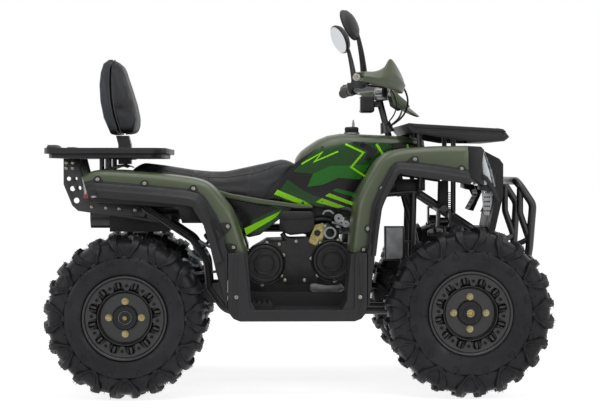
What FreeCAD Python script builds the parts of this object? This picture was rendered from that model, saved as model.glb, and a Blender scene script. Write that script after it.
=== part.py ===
import FreeCAD, Part
import math
import os
import Sketcher
from FreeCAD import Rotation, Vector

# A utility quad bike. Its front points to +X, its left side to +Y, and it stands on z = 0.
# The origin lies on the ground, half way between the axles and between the two sides.

os.makedirs("parts", exist_ok=True)
doc = FreeCAD.newDocument("quad_bike")
sheet = doc.addObject("Spreadsheet::Sheet", "Dims")
pieces = []
used_rows = []


def add_sizes(sizes):
    """Write the driving sizes of one group to the sheet, in millimetres or degrees."""
    for name, value in sizes.items():
        used_rows.append(name)
        row = len(used_rows)
        sheet.set(f"A{row}", name)
        sheet.set(f"B{row}", str(value))
        sheet.setAlias(f"B{row}", name)
    sheet.recompute()


def dim(name):
    return float(sheet.get(name))


def new_body(label):
    """A sub-part made by sketches and features."""
    body = doc.addObject("PartDesign::Body", label)
    body.Label = label
    pieces.append(body)
    return body


def keep_shape(label, shape):
    """A sub-part whose surface is set by curves in space."""
    piece = doc.addObject("Part::Feature", label)
    piece.Shape = shape
    piece.Label = label
    pieces.append(piece)
    return piece


def origin_feature(body, role):
    return next(item for item in body.Origin.OriginFeatures if item.Role == role)


def sketch_on(body, role, label, height=None):
    """A sketch on one of the body's own planes, or at a named height over it."""
    sketch = body.newObject("Sketcher::SketchObject", label)
    sketch.AttachmentSupport = [(origin_feature(body, role), "")]
    sketch.MapMode = "FlatFace"
    if height:
        sketch.setExpression("AttachmentOffset.Base.z", height)
    return sketch


def value_of(terms):
    """The number that a sum of (share, size name) terms stands for."""
    return sum(share * dim(name) for share, name in terms)


def words_of(terms):
    """The same sum as an expression on the sheet."""
    return " + ".join(f"({share}) * Dims.{name}" for share, name in terms) or "0"


def draw_outline(sketch, corners):
    """A closed outline of straight edges; each corner is a pair of sums of named sizes."""
    points = [Vector(value_of(across), value_of(up), 0) for across, up in corners]
    count = len(points)
    first = sketch.GeometryCount
    edges = [Part.LineSegment(points[i], points[(i + 1) % count]) for i in range(count)]
    sketch.addGeometry(edges, False)
    for i in range(count):
        sketch.addConstraint(Sketcher.Constraint("Coincident", first + i, 2, first + (i + 1) % count, 1))
    for i, (across, up) in enumerate(corners):
        for kind, terms, value in (("DistanceX", across, points[i].x), ("DistanceY", up, points[i].y)):
            index = sketch.addConstraint(Sketcher.Constraint(kind, -1, 1, first + i, 1, value))
            sketch.setExpression(f"Constraints[{index}]", words_of(terms))


def draw_circle(sketch, across, up, radius):
    """A circle whose centre and radius are sums of named sizes."""
    centre = Vector(value_of(across), value_of(up), 0)
    index = sketch.addGeometry(Part.Circle(centre, Vector(0, 0, 1), value_of(radius)), False)
    for kind, terms, value in (("DistanceX", across, centre.x), ("DistanceY", up, centre.y)):
        made = sketch.addConstraint(Sketcher.Constraint(kind, -1, 1, index, 3, value))
        sketch.setExpression(f"Constraints[{made}]", words_of(terms))
    made = sketch.addConstraint(Sketcher.Constraint("Radius", index, value_of(radius)))
    sketch.setExpression(f"Constraints[{made}]", words_of(radius))


def in_box(box, shares):
    """Corners at shares of a named box, given as start, length, base and height."""
    start, length, base, height = box
    return [([(1, start), (x_share, length)], [(1, base), (z_share, height)]) for x_share, z_share in shares]


def pad(body, sketch, label, length, both_ways=False):
    feature = body.newObject("PartDesign::Pad", label)
    feature.Profile = sketch
    feature.Midplane = both_ways
    feature.setExpression("Length", length)
    return feature


def pocket(body, sketch, label, depth):
    feature = body.newObject("PartDesign::Pocket", label)
    feature.Profile = sketch
    feature.setExpression("Length", depth)
    return feature


def mirror_sides(body, originals):
    """Repeat the features of the right side on the left side."""
    feature = body.newObject("PartDesign::Mirrored", "both_sides")
    feature.Originals = originals
    feature.MirrorPlane = (origin_feature(body, "XZ_Plane"), [""])
    body.Tip = feature
    return feature


def ring_of(body, originals, label, axis, count):
    feature = body.newObject("PartDesign::PolarPattern", label)
    feature.Originals = originals
    feature.Axis = (origin_feature(body, axis), [""])
    feature.Angle = 360
    feature.Occurrences = count
    body.Tip = feature
    return feature


def round_edges(body, base, label, radius, keep):
    """Round those edges of the base feature that the test keeps."""
    doc.recompute()
    names = [f"Edge{i + 1}" for i, edge in enumerate(base.Shape.Edges) if keep(edge)]
    feature = body.newObject("PartDesign::Fillet", label)
    feature.Base = (base, names)
    feature.setExpression("Radius", radius)
    return feature


def runs_along(edge, axis):
    """True for a straight edge parallel to the axis."""
    if edge.Curve.TypeId != "Part::GeomLine":
        return False
    return abs(edge.tangentAt(edge.FirstParameter).dot(axis)) > 1 - 1e-6


def revolve(body, role, label, corners, axis="H_Axis"):
    sketch = sketch_on(body, role, f"{label}_section")
    draw_outline(sketch, corners)
    feature = body.newObject("PartDesign::Revolution", label)
    feature.Profile = sketch
    feature.ReferenceAxis = (sketch, [axis])
    feature.Angle = 360
    return feature


def set_place(body, x_name=None, y_name=None, z_name=None):
    """Put a body at named places, given as expressions on the sheet."""
    for axis, words in (("x", x_name), ("y", y_name), ("z", z_name)):
        if words:
            body.setExpression(f"Placement.Base.{axis}", words)


def tube(points, radius, bend):
    """A round tube along straight runs, with a bend of the given radius at each corner."""
    edges = []
    start = points[0]
    for before, corner, after in zip(points, points[1:], points[2:]):
        into = (before - corner).normalize()
        out = (after - corner).normalize()
        half = into.getAngle(out) / 2
        cut = bend / math.tan(half)
        first = corner + into * cut
        last = corner + out * cut
        middle = corner + (into + out).normalize() * (bend / math.sin(half) - bend)
        edges.append(Part.LineSegment(start, first).toShape())
        edges.append(Part.Arc(first, middle, last).toShape())
        start = last
    edges.append(Part.LineSegment(start, points[-1]).toShape())
    path = Part.Wire(edges)
    heading = points[1] - points[0]
    section = Part.Wire([Part.Circle(points[0], heading, radius).toShape()])
    if len(edges) == 1:
        return Part.makeCylinder(radius, heading.Length, points[0], heading)
    return path.makePipeShell([section], True, True)


def rod(start, end, radius):
    return Part.makeCylinder(radius, (end - start).Length, start, end - start)


def box_between(first, second):
    """A box with the two points as opposite corners, whichever way round they lie."""
    low = Vector(min(first.x, second.x), min(first.y, second.y), min(first.z, second.z))
    size = Vector(abs(first.x - second.x), abs(first.y - second.y), abs(first.z - second.z))
    return Part.makeBox(size.x, size.y, size.z, low)


def plate_of(corners, thickness):
    """A flat plate over an outline of points, thickened along the given vector."""
    return Part.Face(Part.makePolygon(corners + [corners[0]])).extrude(thickness)


def largest(shape):
    return max(shape.Solids, key=lambda solid: solid.Volume)


def shape_of(label):
    return next(piece.Shape for piece in pieces if piece.Label == label)


def fuse(shapes):
    joined = shapes[0].multiFuse(shapes[1:]) if len(shapes) > 1 else shapes[0]
    return joined.removeSplitter()


def other_side(shape):
    return shape.mirror(Vector(0, 0, 0), Vector(0, 1, 0))


def with_other_side(shape):
    return Part.makeCompound([shape, other_side(shape)])


def right(x, y, z):
    """A point on the right side, with y counted outwards from the middle."""
    return Vector(x, -y, z)


# Sizes that the whole vehicle follows.

whole_sizes = {
    "wheelbase": 1165,
    "front_tyre_diameter": 584,
    "front_tyre_width": 178,
    "front_track": 840,
    "rear_tyre_diameter": 559,
    "rear_tyre_width": 240,
    "rear_track": 820,
    "rim_diameter": 254,
    "seat_gap": 0.3,
    "wall": 5,
}
add_sizes(whole_sizes)
axle_front = "0.5 * Dims.wheelbase"
axle_rear = "-0.5 * Dims.wheelbase"
front_axle_height = "0.5 * Dims.front_tyre_diameter"
rear_axle_height = "0.5 * Dims.rear_tyre_diameter"
gap = dim("seat_gap")

# Tyres. A flat-faced carcass carries a row of V-shaped lugs on each shoulder, fused to it.

lug_rows = 12
half_row = math.pi / lug_rows
facet_share = 1 / math.cos(half_row / 2)

# Rows of the section: shares of the tyre's width and of its side wall's height.
bead_shares = (0.43, 0.0)
bead_seat_shares = (0.43, 0.115)
bulge_shares = (0.475, 0.42)
root_shares = (0.475, 0.6)
notch_shares = (0.462, 0.72)
shoulder_shares = (0.43, 0.84)
crown_shares = (0.14, 0.905)
lug_foot_shares = (0.5, 0.65)
lug_notch_shares = (0.49, 0.76)
lug_shoulder_shares = (0.465, 0.95)
lug_crown_shares = (0.11, 1.0)

# Places round the tyre, as shares of half the pitch of the lugs.
root_reach_share = 0.3
shoulder_outer_share = 0.64
shoulder_inner_share = 0.32
crown_outer_share = 0.85
crown_inner_share = 0.52


def tyre_faces(size):
    """Every flat face of one tyre, as rings of corners that turn the same way seen from outside."""
    width = dim(f"{size}_tyre_width")
    bead = dim("rim_diameter") / 2 + gap
    tip = dim(f"{size}_tyre_diameter") / 2

    def corner(turn_share, shares, middle, side):
        y_share, r_share = shares
        grow = facet_share if r_share < root_shares[1] else 1
        out = min(bead * grow + r_share * (tip - bead * grow), tip)
        turn = middle + (turn_share - crown_inner_share) * half_row
        return Vector(out * math.sin(turn), side * y_share * width, out * math.cos(turn))

    faces = []
    for row in range(lug_rows):
        middle = 2 * row * half_row
        for side in (1, -1):
            def ring(*places):
                faces.append([corner(turn, shares, middle, side) for turn, shares in places][::side])

            for low, high in ((bead_shares, bead_seat_shares), (bead_seat_shares, bulge_shares)):
                ring((-1, low), (0, low), (0, high), (-1, high))
                ring((0, low), (1, low), (1, high), (0, high))
            ring((-1, bulge_shares), (-root_reach_share, root_shares), (-1, root_shares))
            ring((-1, bulge_shares), (0, bulge_shares), (-root_reach_share, root_shares))
            ring((0, bulge_shares), (root_reach_share, root_shares), (-root_reach_share, root_shares))
            ring((0, bulge_shares), (1, bulge_shares), (root_reach_share, root_shares))
            ring((1, bulge_shares), (1, root_shares), (root_reach_share, root_shares))
            ring((-root_reach_share, root_shares), (root_reach_share, root_shares),
                 (root_reach_share, lug_foot_shares), (-root_reach_share, lug_foot_shares))
            ring((0, notch_shares), (shoulder_inner_share, shoulder_shares), (-shoulder_inner_share, shoulder_shares))
            ring((-shoulder_inner_share, shoulder_shares), (shoulder_inner_share, shoulder_shares),
                 (crown_inner_share, crown_shares), (-crown_inner_share, crown_shares))
            top = (-root_reach_share, lug_foot_shares)
            notch = (0, lug_notch_shares)
            ring(top, (root_reach_share, lug_foot_shares), (shoulder_outer_share, lug_shoulder_shares))
            ring(top, (shoulder_outer_share, lug_shoulder_shares), (shoulder_inner_share, lug_shoulder_shares))
            ring(top, (shoulder_inner_share, lug_shoulder_shares), notch)
            ring(top, notch, (-shoulder_inner_share, lug_shoulder_shares))
            ring(top, (-shoulder_inner_share, lug_shoulder_shares), (-shoulder_outer_share, lug_shoulder_shares))
            for way in (1, -1):
                def arm(*places):
                    turned = [(way * turn, shares) for turn, shares in places]
                    ring(*turned[::way])

                arm((root_reach_share, root_shares), (1, root_shares), (1, shoulder_shares),
                    (shoulder_outer_share, shoulder_shares))
                arm((shoulder_outer_share, shoulder_shares), (1, shoulder_shares), (1, crown_shares),
                    (crown_outer_share, crown_shares))
                arm((root_reach_share, lug_foot_shares), (root_reach_share, root_shares),
                    (shoulder_outer_share, shoulder_shares), (shoulder_outer_share, lug_shoulder_shares))
                arm((shoulder_outer_share, lug_shoulder_shares), (shoulder_outer_share, shoulder_shares),
                    (crown_outer_share, crown_shares), (crown_outer_share, lug_crown_shares))
                arm((shoulder_inner_share, lug_shoulder_shares), (shoulder_outer_share, lug_shoulder_shares),
                    (crown_outer_share, lug_crown_shares), (crown_inner_share, lug_crown_shares))
                arm((crown_inner_share, lug_crown_shares), (crown_outer_share, lug_crown_shares),
                    (crown_outer_share, crown_shares), (crown_inner_share, crown_shares))
                arm((crown_inner_share, crown_shares), (shoulder_inner_share, shoulder_shares),
                    (shoulder_inner_share, lug_shoulder_shares), (crown_inner_share, lug_crown_shares))
                arm((shoulder_inner_share, shoulder_shares), (0, notch_shares), (0, lug_notch_shares),
                    (shoulder_inner_share, lug_shoulder_shares))
        across = (-1, -crown_outer_share, -crown_inner_share, crown_inner_share, crown_outer_share, 1)
        for start, end in zip(across, across[1:]):
            faces.append([corner(start, crown_shares, middle, 1), corner(end, crown_shares, middle, 1),
                          corner(end, crown_shares, middle, -1), corner(start, crown_shares, middle, -1)])
        for start, end in ((-1, 0), (0, 1)):
            faces.append([corner(start, bead_shares, middle, -1), corner(end, bead_shares, middle, -1),
                          corner(end, bead_shares, middle, 1), corner(start, bead_shares, middle, 1)])
    return faces


def solid_of(faces):
    """A closed solid from flat or folded rings, each split into triangles from its first corner."""
    places = {}
    points = []
    triangles = []
    for face in faces:
        numbers = []
        for point in face:
            key = tuple(round(value, 4) for value in point)
            if key not in places:
                places[key] = len(points)
                points.append(point)
            numbers.append(places[key])
        for second, third in zip(numbers[1:], numbers[2:]):
            triangles.append((numbers[0], second, third))
    shell = Part.Shape()
    shell.makeShapeFromMesh((points, triangles), gap / 100)
    solid = Part.makeSolid(shell)
    return solid if solid.Volume > 0 else solid.reversed()


def tyre(label, size, axle, side, height):
    place = keep_shape(label, solid_of(tyre_faces(size)))
    set_place(place, axle, f"{side} * 0.5 * Dims.{size}_track", height)


# Rims. A drop-centre barrel with rolled flanges carries a dished disc near its outer face.

rim_sizes = {
    "rim_flange_height": 16,
    "rim_wall": 6,
    "rim_drop": 14,
    "disc_thickness": 7,
    "dish_radius": 90,
    "dish_depth": 22,
    "hub_radius": 34,
    "hub_bore_radius": 16,
    "disc_inset": 18,
    "ring_hole_radius": 7,
    "ring_hole_circle": 99,
    "stud_circle": 55,
    "stud_radius": 6,
    "stud_length": 26,
    "stud_nut_radius": 10,
    "stud_nut_height": 12,
}
add_sizes(rim_sizes)


def rim_section(size, bore):
    """Half of a rim's section, from its outer flange over the barrel and back along the disc."""
    width = f"{size}_tyre_width"
    edge = [(0.43, width), (-1, "seat_gap")]
    inner_edge = [(-0.43, width), (1, "seat_gap")]
    seat = [(0.5, "rim_diameter")]
    flange = [(0.5, "rim_diameter"), (1, "rim_flange_height")]
    lip = [(0.43, width), (1, "rim_wall"), (1, "seat_gap")]
    inner_lip = [(-0.43, width), (-1, "rim_wall"), (-1, "seat_gap")]
    lip_in = [(0.43, width), (1, "seat_gap")]
    inner_lip_in = [(-0.43, width), (-1, "seat_gap")]
    under = [(0.5, "rim_diameter"), (-1, "rim_wall")]
    drop = [(0.5, "rim_diameter"), (-1, "rim_drop")]
    drop_under = [(0.5, "rim_diameter"), (-1, "rim_drop"), (-1, "rim_wall")]
    disc_out = [(0.43, width), (-1, "disc_inset")]
    disc_in = [(0.43, width), (-1, "disc_inset"), (-1, "disc_thickness")]
    dish_out = [(0.43, width), (-1, "disc_inset"), (-1, "dish_depth")]
    dish_in = [(0.43, width), (-1, "disc_inset"), (-1, "dish_depth"), (-1, "disc_thickness")]
    dish = [(1, "dish_radius")]
    dish_foot = [(0.85, "dish_radius")]
    hub_bore = [(1, bore)]
    return [
        (lip_in, seat), (lip_in, flange), (lip, flange), (lip, under), (disc_out, under), (disc_out, dish),
        (dish_out, dish_foot), (dish_out, hub_bore), (dish_in, hub_bore), (dish_in, dish_foot),
        (disc_in, dish), (disc_in, drop_under), (inner_edge, drop_under), (inner_lip, under),
        (inner_lip, flange), (inner_lip_in, flange), (inner_lip_in, seat), ([(-0.3, width)], seat),
        ([(-0.22, width)], drop), ([(0.1, width)], drop), ([(0.2, width)], seat),
    ]


ring_hole_count = 12
stud_count = 4


def rim(label, size, axle, side, height, bore):
    """The outer face is made towards +Y; the right-hand wheels are turned half round."""
    body = new_body(label)
    revolve(body, "YZ_Plane", "barrel", rim_section(size, bore))
    to_disc = f"0.43 * Dims.{size}_tyre_width - Dims.disc_inset"
    holes = sketch_on(body, "XZ_Plane", "ring_hole", f"Dims.disc_thickness - ({to_disc})")
    draw_circle(holes, [(1, "ring_hole_circle")], [], [(1, "ring_hole_radius")])
    hole = pocket(body, holes, "hole", "Dims.disc_thickness")
    ring_of(body, [hole], "holes", "Y_Axis", ring_hole_count)
    studs = sketch_on(body, "XZ_Plane", "stud_hole", f"Dims.disc_thickness + Dims.dish_depth - ({to_disc})")
    draw_circle(studs, [(1, "stud_circle")], [], [(1, "stud_radius"), (1, "seat_gap")])
    stud = pocket(body, studs, "stud_bore", "Dims.disc_thickness")
    ring_of(body, [stud], "stud_bores", "Y_Axis", stud_count)
    if side < 0:
        body.Placement = FreeCAD.Placement(Vector(0, 0, 0), Rotation(Vector(0, 0, 1), 180))
    set_place(body, axle, f"{side} * 0.5 * Dims.{size}_track", height)
    return body


for side, name in ((-1, "right"), (1, "left")):
    tyre(f"tyre_front_{name}", "front", axle_front, side, front_axle_height)
    tyre(f"tyre_rear_{name}", "rear", axle_rear, side, rear_axle_height)
    rim(f"rim_front_{name}", "front", axle_front, side, front_axle_height, "hub_bore_radius")
    rim(f"rim_rear_{name}", "rear", axle_rear, side, rear_axle_height, "hub_bore_radius")

# Front knuckles. Each stands between two ball joints and carries a spindle and a steering arm.

knuckle_sizes = {
    "kingpin_inset": 75,
    "ball_radius": 14,
    "upper_ball_rise": 64,
    "lower_ball_drop": 62,
    "upright_width": 26,
    "spindle_radius": 15,
    "knuckle_boss_length": 26,
    "running_gap": 0.5,
    "steering_arm_length": 80,
    "steering_arm_inset": 34,
    "steering_arm_thickness": 12,
    "eye_radius": 11,
    "rod_end_gap": 1.5,
    "tie_rod_radius": 7,
    "tie_rod_height": 310,
}
add_sizes(knuckle_sizes)
wheel_x = 0.5 * dim("wheelbase")
wheel_z = 0.5 * dim("front_tyre_diameter")
pin_y = 0.5 * dim("front_track") - dim("kingpin_inset")
dish_y = 0.5 * dim("front_track") + 0.43 * dim("front_tyre_width") - dim("disc_inset") - dim("dish_depth")
arm_top = dim("tie_rod_height") - dim("eye_radius") / 2 - dim("tie_rod_radius") / 2 - dim("rod_end_gap")
eye_x = wheel_x - dim("steering_arm_length")
eye_y = pin_y - dim("steering_arm_inset")


def knuckle(label, left):
    half = dim("upright_width") / 2
    low = wheel_z - dim("lower_ball_drop") + dim("ball_radius") + dim("running_gap")
    high = wheel_z + dim("upper_ball_rise") - dim("ball_radius") - dim("running_gap")
    upright = Part.makeBox(2 * half, 2 * half, high - low, Vector(wheel_x - half, -pin_y - half, low))
    boss_end = pin_y + dim("knuckle_boss_length")
    boss = rod(right(wheel_x, pin_y, wheel_z), right(wheel_x, boss_end, wheel_z), dim("hub_radius"))
    shaft_end = dish_y + dim("disc_thickness")
    shaft = rod(right(wheel_x, pin_y, wheel_z), right(wheel_x, shaft_end, wheel_z), dim("spindle_radius"))
    thick = dim("steering_arm_thickness")
    wide = dim("eye_radius")
    corners = [
        right(wheel_x, pin_y + half, arm_top), right(wheel_x - half, pin_y + half, arm_top),
        right(eye_x, eye_y + wide, arm_top), right(eye_x, eye_y - wide, arm_top), right(wheel_x, pin_y - half, arm_top),
    ]
    arm = plate_of(corners, Vector(0, 0, -thick))
    eye = Part.makeCylinder(dim("eye_radius"), thick, Vector(eye_x, -eye_y, arm_top - thick))
    shape = fuse([upright, boss, shaft, arm, eye])
    keep_shape(label, other_side(shape) if left else shape)


knuckle("knuckle_right", False)
knuckle("knuckle_left", True)

# Front hubs. Each turns on its spindle, bolts to the rim's disc and carries a brake disc.

hub_sizes = {
    "brake_disc_radius": 88,
    "brake_disc_thickness": 4,
    "hub_flange_radius": 60,
    "hub_flange_thickness": 9,
    "hub_play": 2,
}
add_sizes(hub_sizes)


def front_hub(label, side):
    """The section runs from the flange at the rim's disc back to the brake disc."""
    body = new_body(label)
    to_disc = [(0.43, "front_tyre_width"), (-1, "disc_inset"), (-1, "dish_depth"), (-1, "disc_thickness")]
    face = to_disc + [(-1, "seat_gap")]
    flange = face + [(-1, "hub_flange_thickness")]
    end = [(-1, "kingpin_inset"), (1, "knuckle_boss_length"), (1, "hub_play")]
    disc_end = end + [(1, "brake_disc_thickness")]
    bore = [(1, "spindle_radius"), (1, "running_gap")]
    sleeve = [(1, "hub_radius")]
    corners = [
        (face, bore), (face, [(1, "hub_flange_radius")]), (flange, [(1, "hub_flange_radius")]),
        (flange, sleeve), (disc_end, sleeve), (disc_end, [(1, "brake_disc_radius")]),
        (end, [(1, "brake_disc_radius")]), (end, bore),
    ]
    revolve(body, "YZ_Plane", "hub", corners)
    to_face = "0.43 * Dims.front_tyre_width - Dims.disc_inset - Dims.dish_depth - Dims.disc_thickness"
    ring_of(body, wheel_studs(body, f"({to_face} - Dims.seat_gap)", 1), "studs", "Y_Axis", stud_count)
    if side < 0:
        body.Placement = FreeCAD.Placement(Vector(0, 0, 0), Rotation(Vector(0, 0, 1), 180))
    set_place(body, axle_front, f"{side} * 0.5 * Dims.front_track", front_axle_height)


def wheel_studs(body, to_face, way, before=()):
    """Four studs with round nuts stand out from a wheel flange through the rim's disc."""
    made = list(before)
    nut_face = f"({to_face} + Dims.disc_thickness + 2 * Dims.seat_gap)"
    for label, radius, start, length in (
        ("stud", "stud_radius", to_face, "Dims.stud_length"),
        ("nut", "stud_nut_radius", nut_face, "Dims.stud_nut_height"),
    ):
        sketch = sketch_on(body, "XZ_Plane", f"{label}_outline", f"{-way} * {start}")
        draw_circle(sketch, [(1, "stud_circle")], [], [(1, radius)])
        feature = pad(body, sketch, label, length)
        feature.Reversed = way > 0
        made.append(feature)
    return made


front_hub("hub_front_right", -1)
front_hub("hub_front_left", 1)

# Steering. The column leans back; its foot carries the pitman arm that pulls both tie rods.

steering_sizes = {
    "column_top_x": 302,
    "column_top_z": 1049,
    "column_tilt": 14.5,
    "column_radius": 12,
    "column_clearance": 8,
    "pitman_height": 328,
    "pitman_length": 60,
    "pitman_half_width": 12,
    "pitman_thickness": 10,
    "pitman_gap": 4,
    "boot_radius": 27,
    "boot_neck_radius": 18,
    "boot_base": 912,
    "boot_height": 38,
    "rod_pin_radius": 5,
}
add_sizes(steering_sizes)
tilt = math.radians(dim("column_tilt"))
column_top = Vector(dim("column_top_x"), 0, dim("column_top_z"))
column_up = Vector(-math.sin(tilt), 0, math.cos(tilt))
column_ahead = Vector(math.cos(tilt), 0, math.sin(tilt))


def on_column(height):
    """The point of the steering axis at a height over the ground."""
    return column_top + column_up * ((height - dim("column_top_z")) / math.cos(tilt))


def steering_turned(shape, centre):
    """Turn a shape made about the vertical through its centre to stand along the column."""
    turned = shape.copy()
    turned.rotate(centre, Vector(0, 1, 0), -dim("column_tilt"))
    return turned


pitman_hub = on_column(dim("pitman_height"))
pitman_pins = [
    pitman_hub - column_ahead * dim("pitman_length") + Vector(0, side * dim("pitman_half_width"), 0)
    for side in (-1, 1)
]


def boot(clearance=0.0):
    """The rubber boot round the column, over the tank cover, that the cables go into."""
    start, end = on_column(dim("boot_base")), on_column(dim("boot_base") + dim("boot_height"))
    low, high = dim("boot_radius") + clearance, dim("boot_neck_radius") + clearance
    return Part.makeCone(low, high, (end - start).Length, start, end - start)


def steering_column():
    thick = dim("pitman_thickness")
    foot = pitman_hub - column_up * thick
    shaft = rod(foot, column_top - column_up * dim("column_radius"), dim("column_radius"))
    wide = dim("pitman_half_width") + dim("eye_radius")
    blade = Part.makeBox(
        dim("pitman_length") + dim("eye_radius") + dim("column_radius"), 2 * wide, thick,
        Vector(foot.x - dim("pitman_length") - dim("eye_radius"), -wide, foot.z),
    )
    blade = steering_turned(blade, foot)
    stub = dim("pitman_gap") + dim("eye_radius")
    studs = [rod(pin - column_up * (thick / 2), pin + column_up * stub, dim("rod_pin_radius")) for pin in pitman_pins]
    keep_shape("steering_column", fuse([shaft, blade, boot()] + studs))


steering_column()


def tie_rod(label, side):
    """A rod from an eye over the pitman arm to an open eye over the knuckle's arm."""
    pin = pitman_pins[0 if side < 0 else 1] + column_up * (dim("pitman_gap") + dim("eye_radius") / 2)
    eye = Vector(eye_x, side * eye_y, dim("tie_rod_height"))
    high = dim("eye_radius")
    near = Part.makeCylinder(dim("eye_radius"), high, pin - column_up * (high / 2), column_up)
    low_face = arm_top + dim("rod_end_gap")
    far = Part.makeCylinder(dim("eye_radius"), high, Vector(eye.x, eye.y, low_face))
    bar = rod(pin, Vector(eye.x, eye.y, low_face + high / 2), dim("tie_rod_radius") * 0.8)
    hole = rod(pin - column_up * high, pin + column_up * high, dim("rod_pin_radius") + gap)
    keep_shape(label, fuse([near, bar, far]).cut(hole))


tie_rod("tie_rod_right", -1)
tie_rod("tie_rod_left", 1)


# Rear axle. One live shaft joins both rear wheels, with a sprocket, a brake disc and end flanges.

rear_axle_sizes = {
    "axle_radius": 17,
    "axle_nut_radius": 22,
    "axle_nut_length": 16,
    "rear_flange_thickness": 18,
    "sprocket_radius": 92,
    "sprocket_thickness": 6,
    "sprocket_offset": 86,
    "rear_disc_radius": 84,
    "rear_disc_thickness": 5,
}
add_sizes(rear_axle_sizes)


def stepped_section(steps):
    """A turned part's section: each step is its end along the axis and its radius."""
    corners = [(steps[0][0], [])]
    for (start, radius), (end, _) in zip(steps, steps[1:]):
        corners += [(start, radius), (end, radius)]
    return corners + [(steps[-1][0], [])]


def rear_axle():
    body = new_body("rear_axle")
    dish = [(0.5, "rear_track"), (0.43, "rear_tyre_width"), (-1, "disc_inset"), (-1, "dish_depth")]
    nut_in = dish + [(1, "seat_gap")]
    nut_out = nut_in + [(1, "axle_nut_length")]
    face = dish + [(-1, "disc_thickness"), (-1, "seat_gap")]
    flange = face + [(-1, "rear_flange_thickness")]
    sprocket = [(1, "sprocket_offset")]
    sprocket_out = sprocket + [(1, "sprocket_thickness")]
    disc_out = sprocket + [(1, "rear_disc_thickness")]
    pilot = [(1, "hub_bore_radius"), (-1, "seat_gap")]
    shaft = [(1, "axle_radius")]
    nut = [(1, "axle_nut_radius")]
    flange_radius = [(1, "hub_flange_radius")]
    right_half = [
        (nut_out, nut), (nut_in, pilot), (face, flange_radius), (flange, shaft),
        (disc_out, [(1, "rear_disc_radius")]), (sprocket, shaft),
    ]
    left_half = [
        (sprocket, [(1, "sprocket_radius")]), (sprocket_out, shaft), (flange, flange_radius),
        (face, pilot), (nut_in, nut), (nut_out, nut),
    ]
    away = [([(-share, name) for share, name in along], radius) for along, radius in right_half]
    revolve(body, "YZ_Plane", "shaft", stepped_section(away + left_half))
    to_face = ("(0.5 * Dims.rear_track + 0.43 * Dims.rear_tyre_width - Dims.disc_inset - Dims.dish_depth"
               " - Dims.disc_thickness - Dims.seat_gap)")
    studs = wheel_studs(body, to_face, -1, wheel_studs(body, to_face, 1))
    ring_of(body, studs, "studs", "Y_Axis", stud_count)
    set_place(body, axle_rear, None, rear_axle_height)


rear_axle()

# Frame. Two sides of round tube, cross members, pivot plates and the two column bearings.

frame_sizes = {
    "frame_half_width": 110,
    "frame_tube_radius": 13,
    "frame_bend": 55,
    "frame_rear": -700,
    "frame_length": 1365,
    "frame_base": 272,
    "frame_height": 429,
    "pivot_x": -290,
    "pivot_z": 336,
    "pivot_plate_length": 80,
    "pivot_plate_height": 70,
    "plate_thickness": 10,
    "pivot_bolt_radius": 8,
    "shock_head_x": -275,
    "shock_head_z": 560,
    "shock_eye_radius": 17,
    "shock_eye_length": 32,
    "shock_pin_small": 7,
    "front_shock_top_x": 523,
    "front_shock_top_y": 172,
    "front_shock_top_z": 592,
    "tower_plate": 6,
    "tower_play": 2,
    "tower_width": 40,
    "upper_bearing_z": 700,
    "lower_bearing_z": 384,
    "bearing_wall": 12,
    "bearing_length": 34,
    "shelf_length": 95,
    "shelf_thickness": 12,
}
add_sizes(frame_sizes)
lower_rail_shares = ((0.286, 0.187), (0.33, 0.0), (0.952, 0.0), (1.0, 0.345), (0.977, 0.685))
rear_leg_shares = ((0.103, 0.893), (0.242, 0.601), (0.28, 0.415), (0.286, 0.187))
upper_rail_shares = ((0.0, 0.893), (0.117, 0.895), (0.425, 0.876), (0.733, 0.974), (0.828, 1.0), (0.977, 0.685))
upright_shares = ((0.815, 0.0), (0.821, 1.0))
cross_shares = (
    (0.952, 0.0), (0.6, 0.0), (0.4, 0.0), (0.977, 0.685), (0.103, 0.893), (0.425, 0.876), (0.821, 0.995),
)
cross_tube_share = 0.85
frame_box = ("frame_rear", "frame_length", "frame_base", "frame_height")


def in_frame(share, out):
    start, length, base, height = (dim(name) for name in frame_box)
    return right(start + share[0] * length, out, base + share[1] * height)


def shock_tower():
    """A cross tube on the upper rails with two ears and a bolt for the head of a front shock absorber."""
    x, out, z = dim("front_shock_top_x"), dim("front_shock_top_y"), dim("front_shock_top_z")
    rail_rear = in_frame(upper_rail_shares[4], out)
    rail_front = in_frame(upper_rail_shares[5], out)
    slope = (rail_front.z - rail_rear.z) / (rail_front.x - rail_rear.x)
    high = rail_rear.z + slope * (x - rail_rear.x)
    wide, plate = dim("tower_width"), dim("tower_plate")
    clear = dim("shock_eye_length") / 2 + dim("tower_play")
    shapes = [rod(right(x, 0, high), right(x, out + wide / 2, high), 2 * dim("tower_plate"))]
    for side in (-1, 1):
        near = x + side * (clear + plate / 2) - plate / 2
        corner = Vector(near, -out - wide / 2, z - dim("shock_eye_radius"))
        shapes.append(box_between(corner, Vector(near + plate, corner.y + wide, high)))
    web = Vector(x - clear - plate, -out - wide / 2, high - plate)
    shapes.append(Part.makeBox(2 * (clear + plate), wide, plate, web))
    shapes.append(rod(right(x - clear, out, z), right(x + clear, out, z), dim("shock_pin_small")))
    return shapes


def engine_mounts():
    """Blocks on the lower rails carry the engine's case."""
    size = 2 * dim("frame_tube_radius")
    top = dim("engine_base") - gap
    blocks = []
    for share in (0.28, 0.74):
        x = dim("engine_rear") + share * dim("engine_length")
        corner = right(x - size, dim("frame_half_width") + size / 2, dim("frame_base"))
        blocks.append(box_between(corner, Vector(corner.x + 2 * size, corner.y + size, top)))
    return blocks


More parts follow.
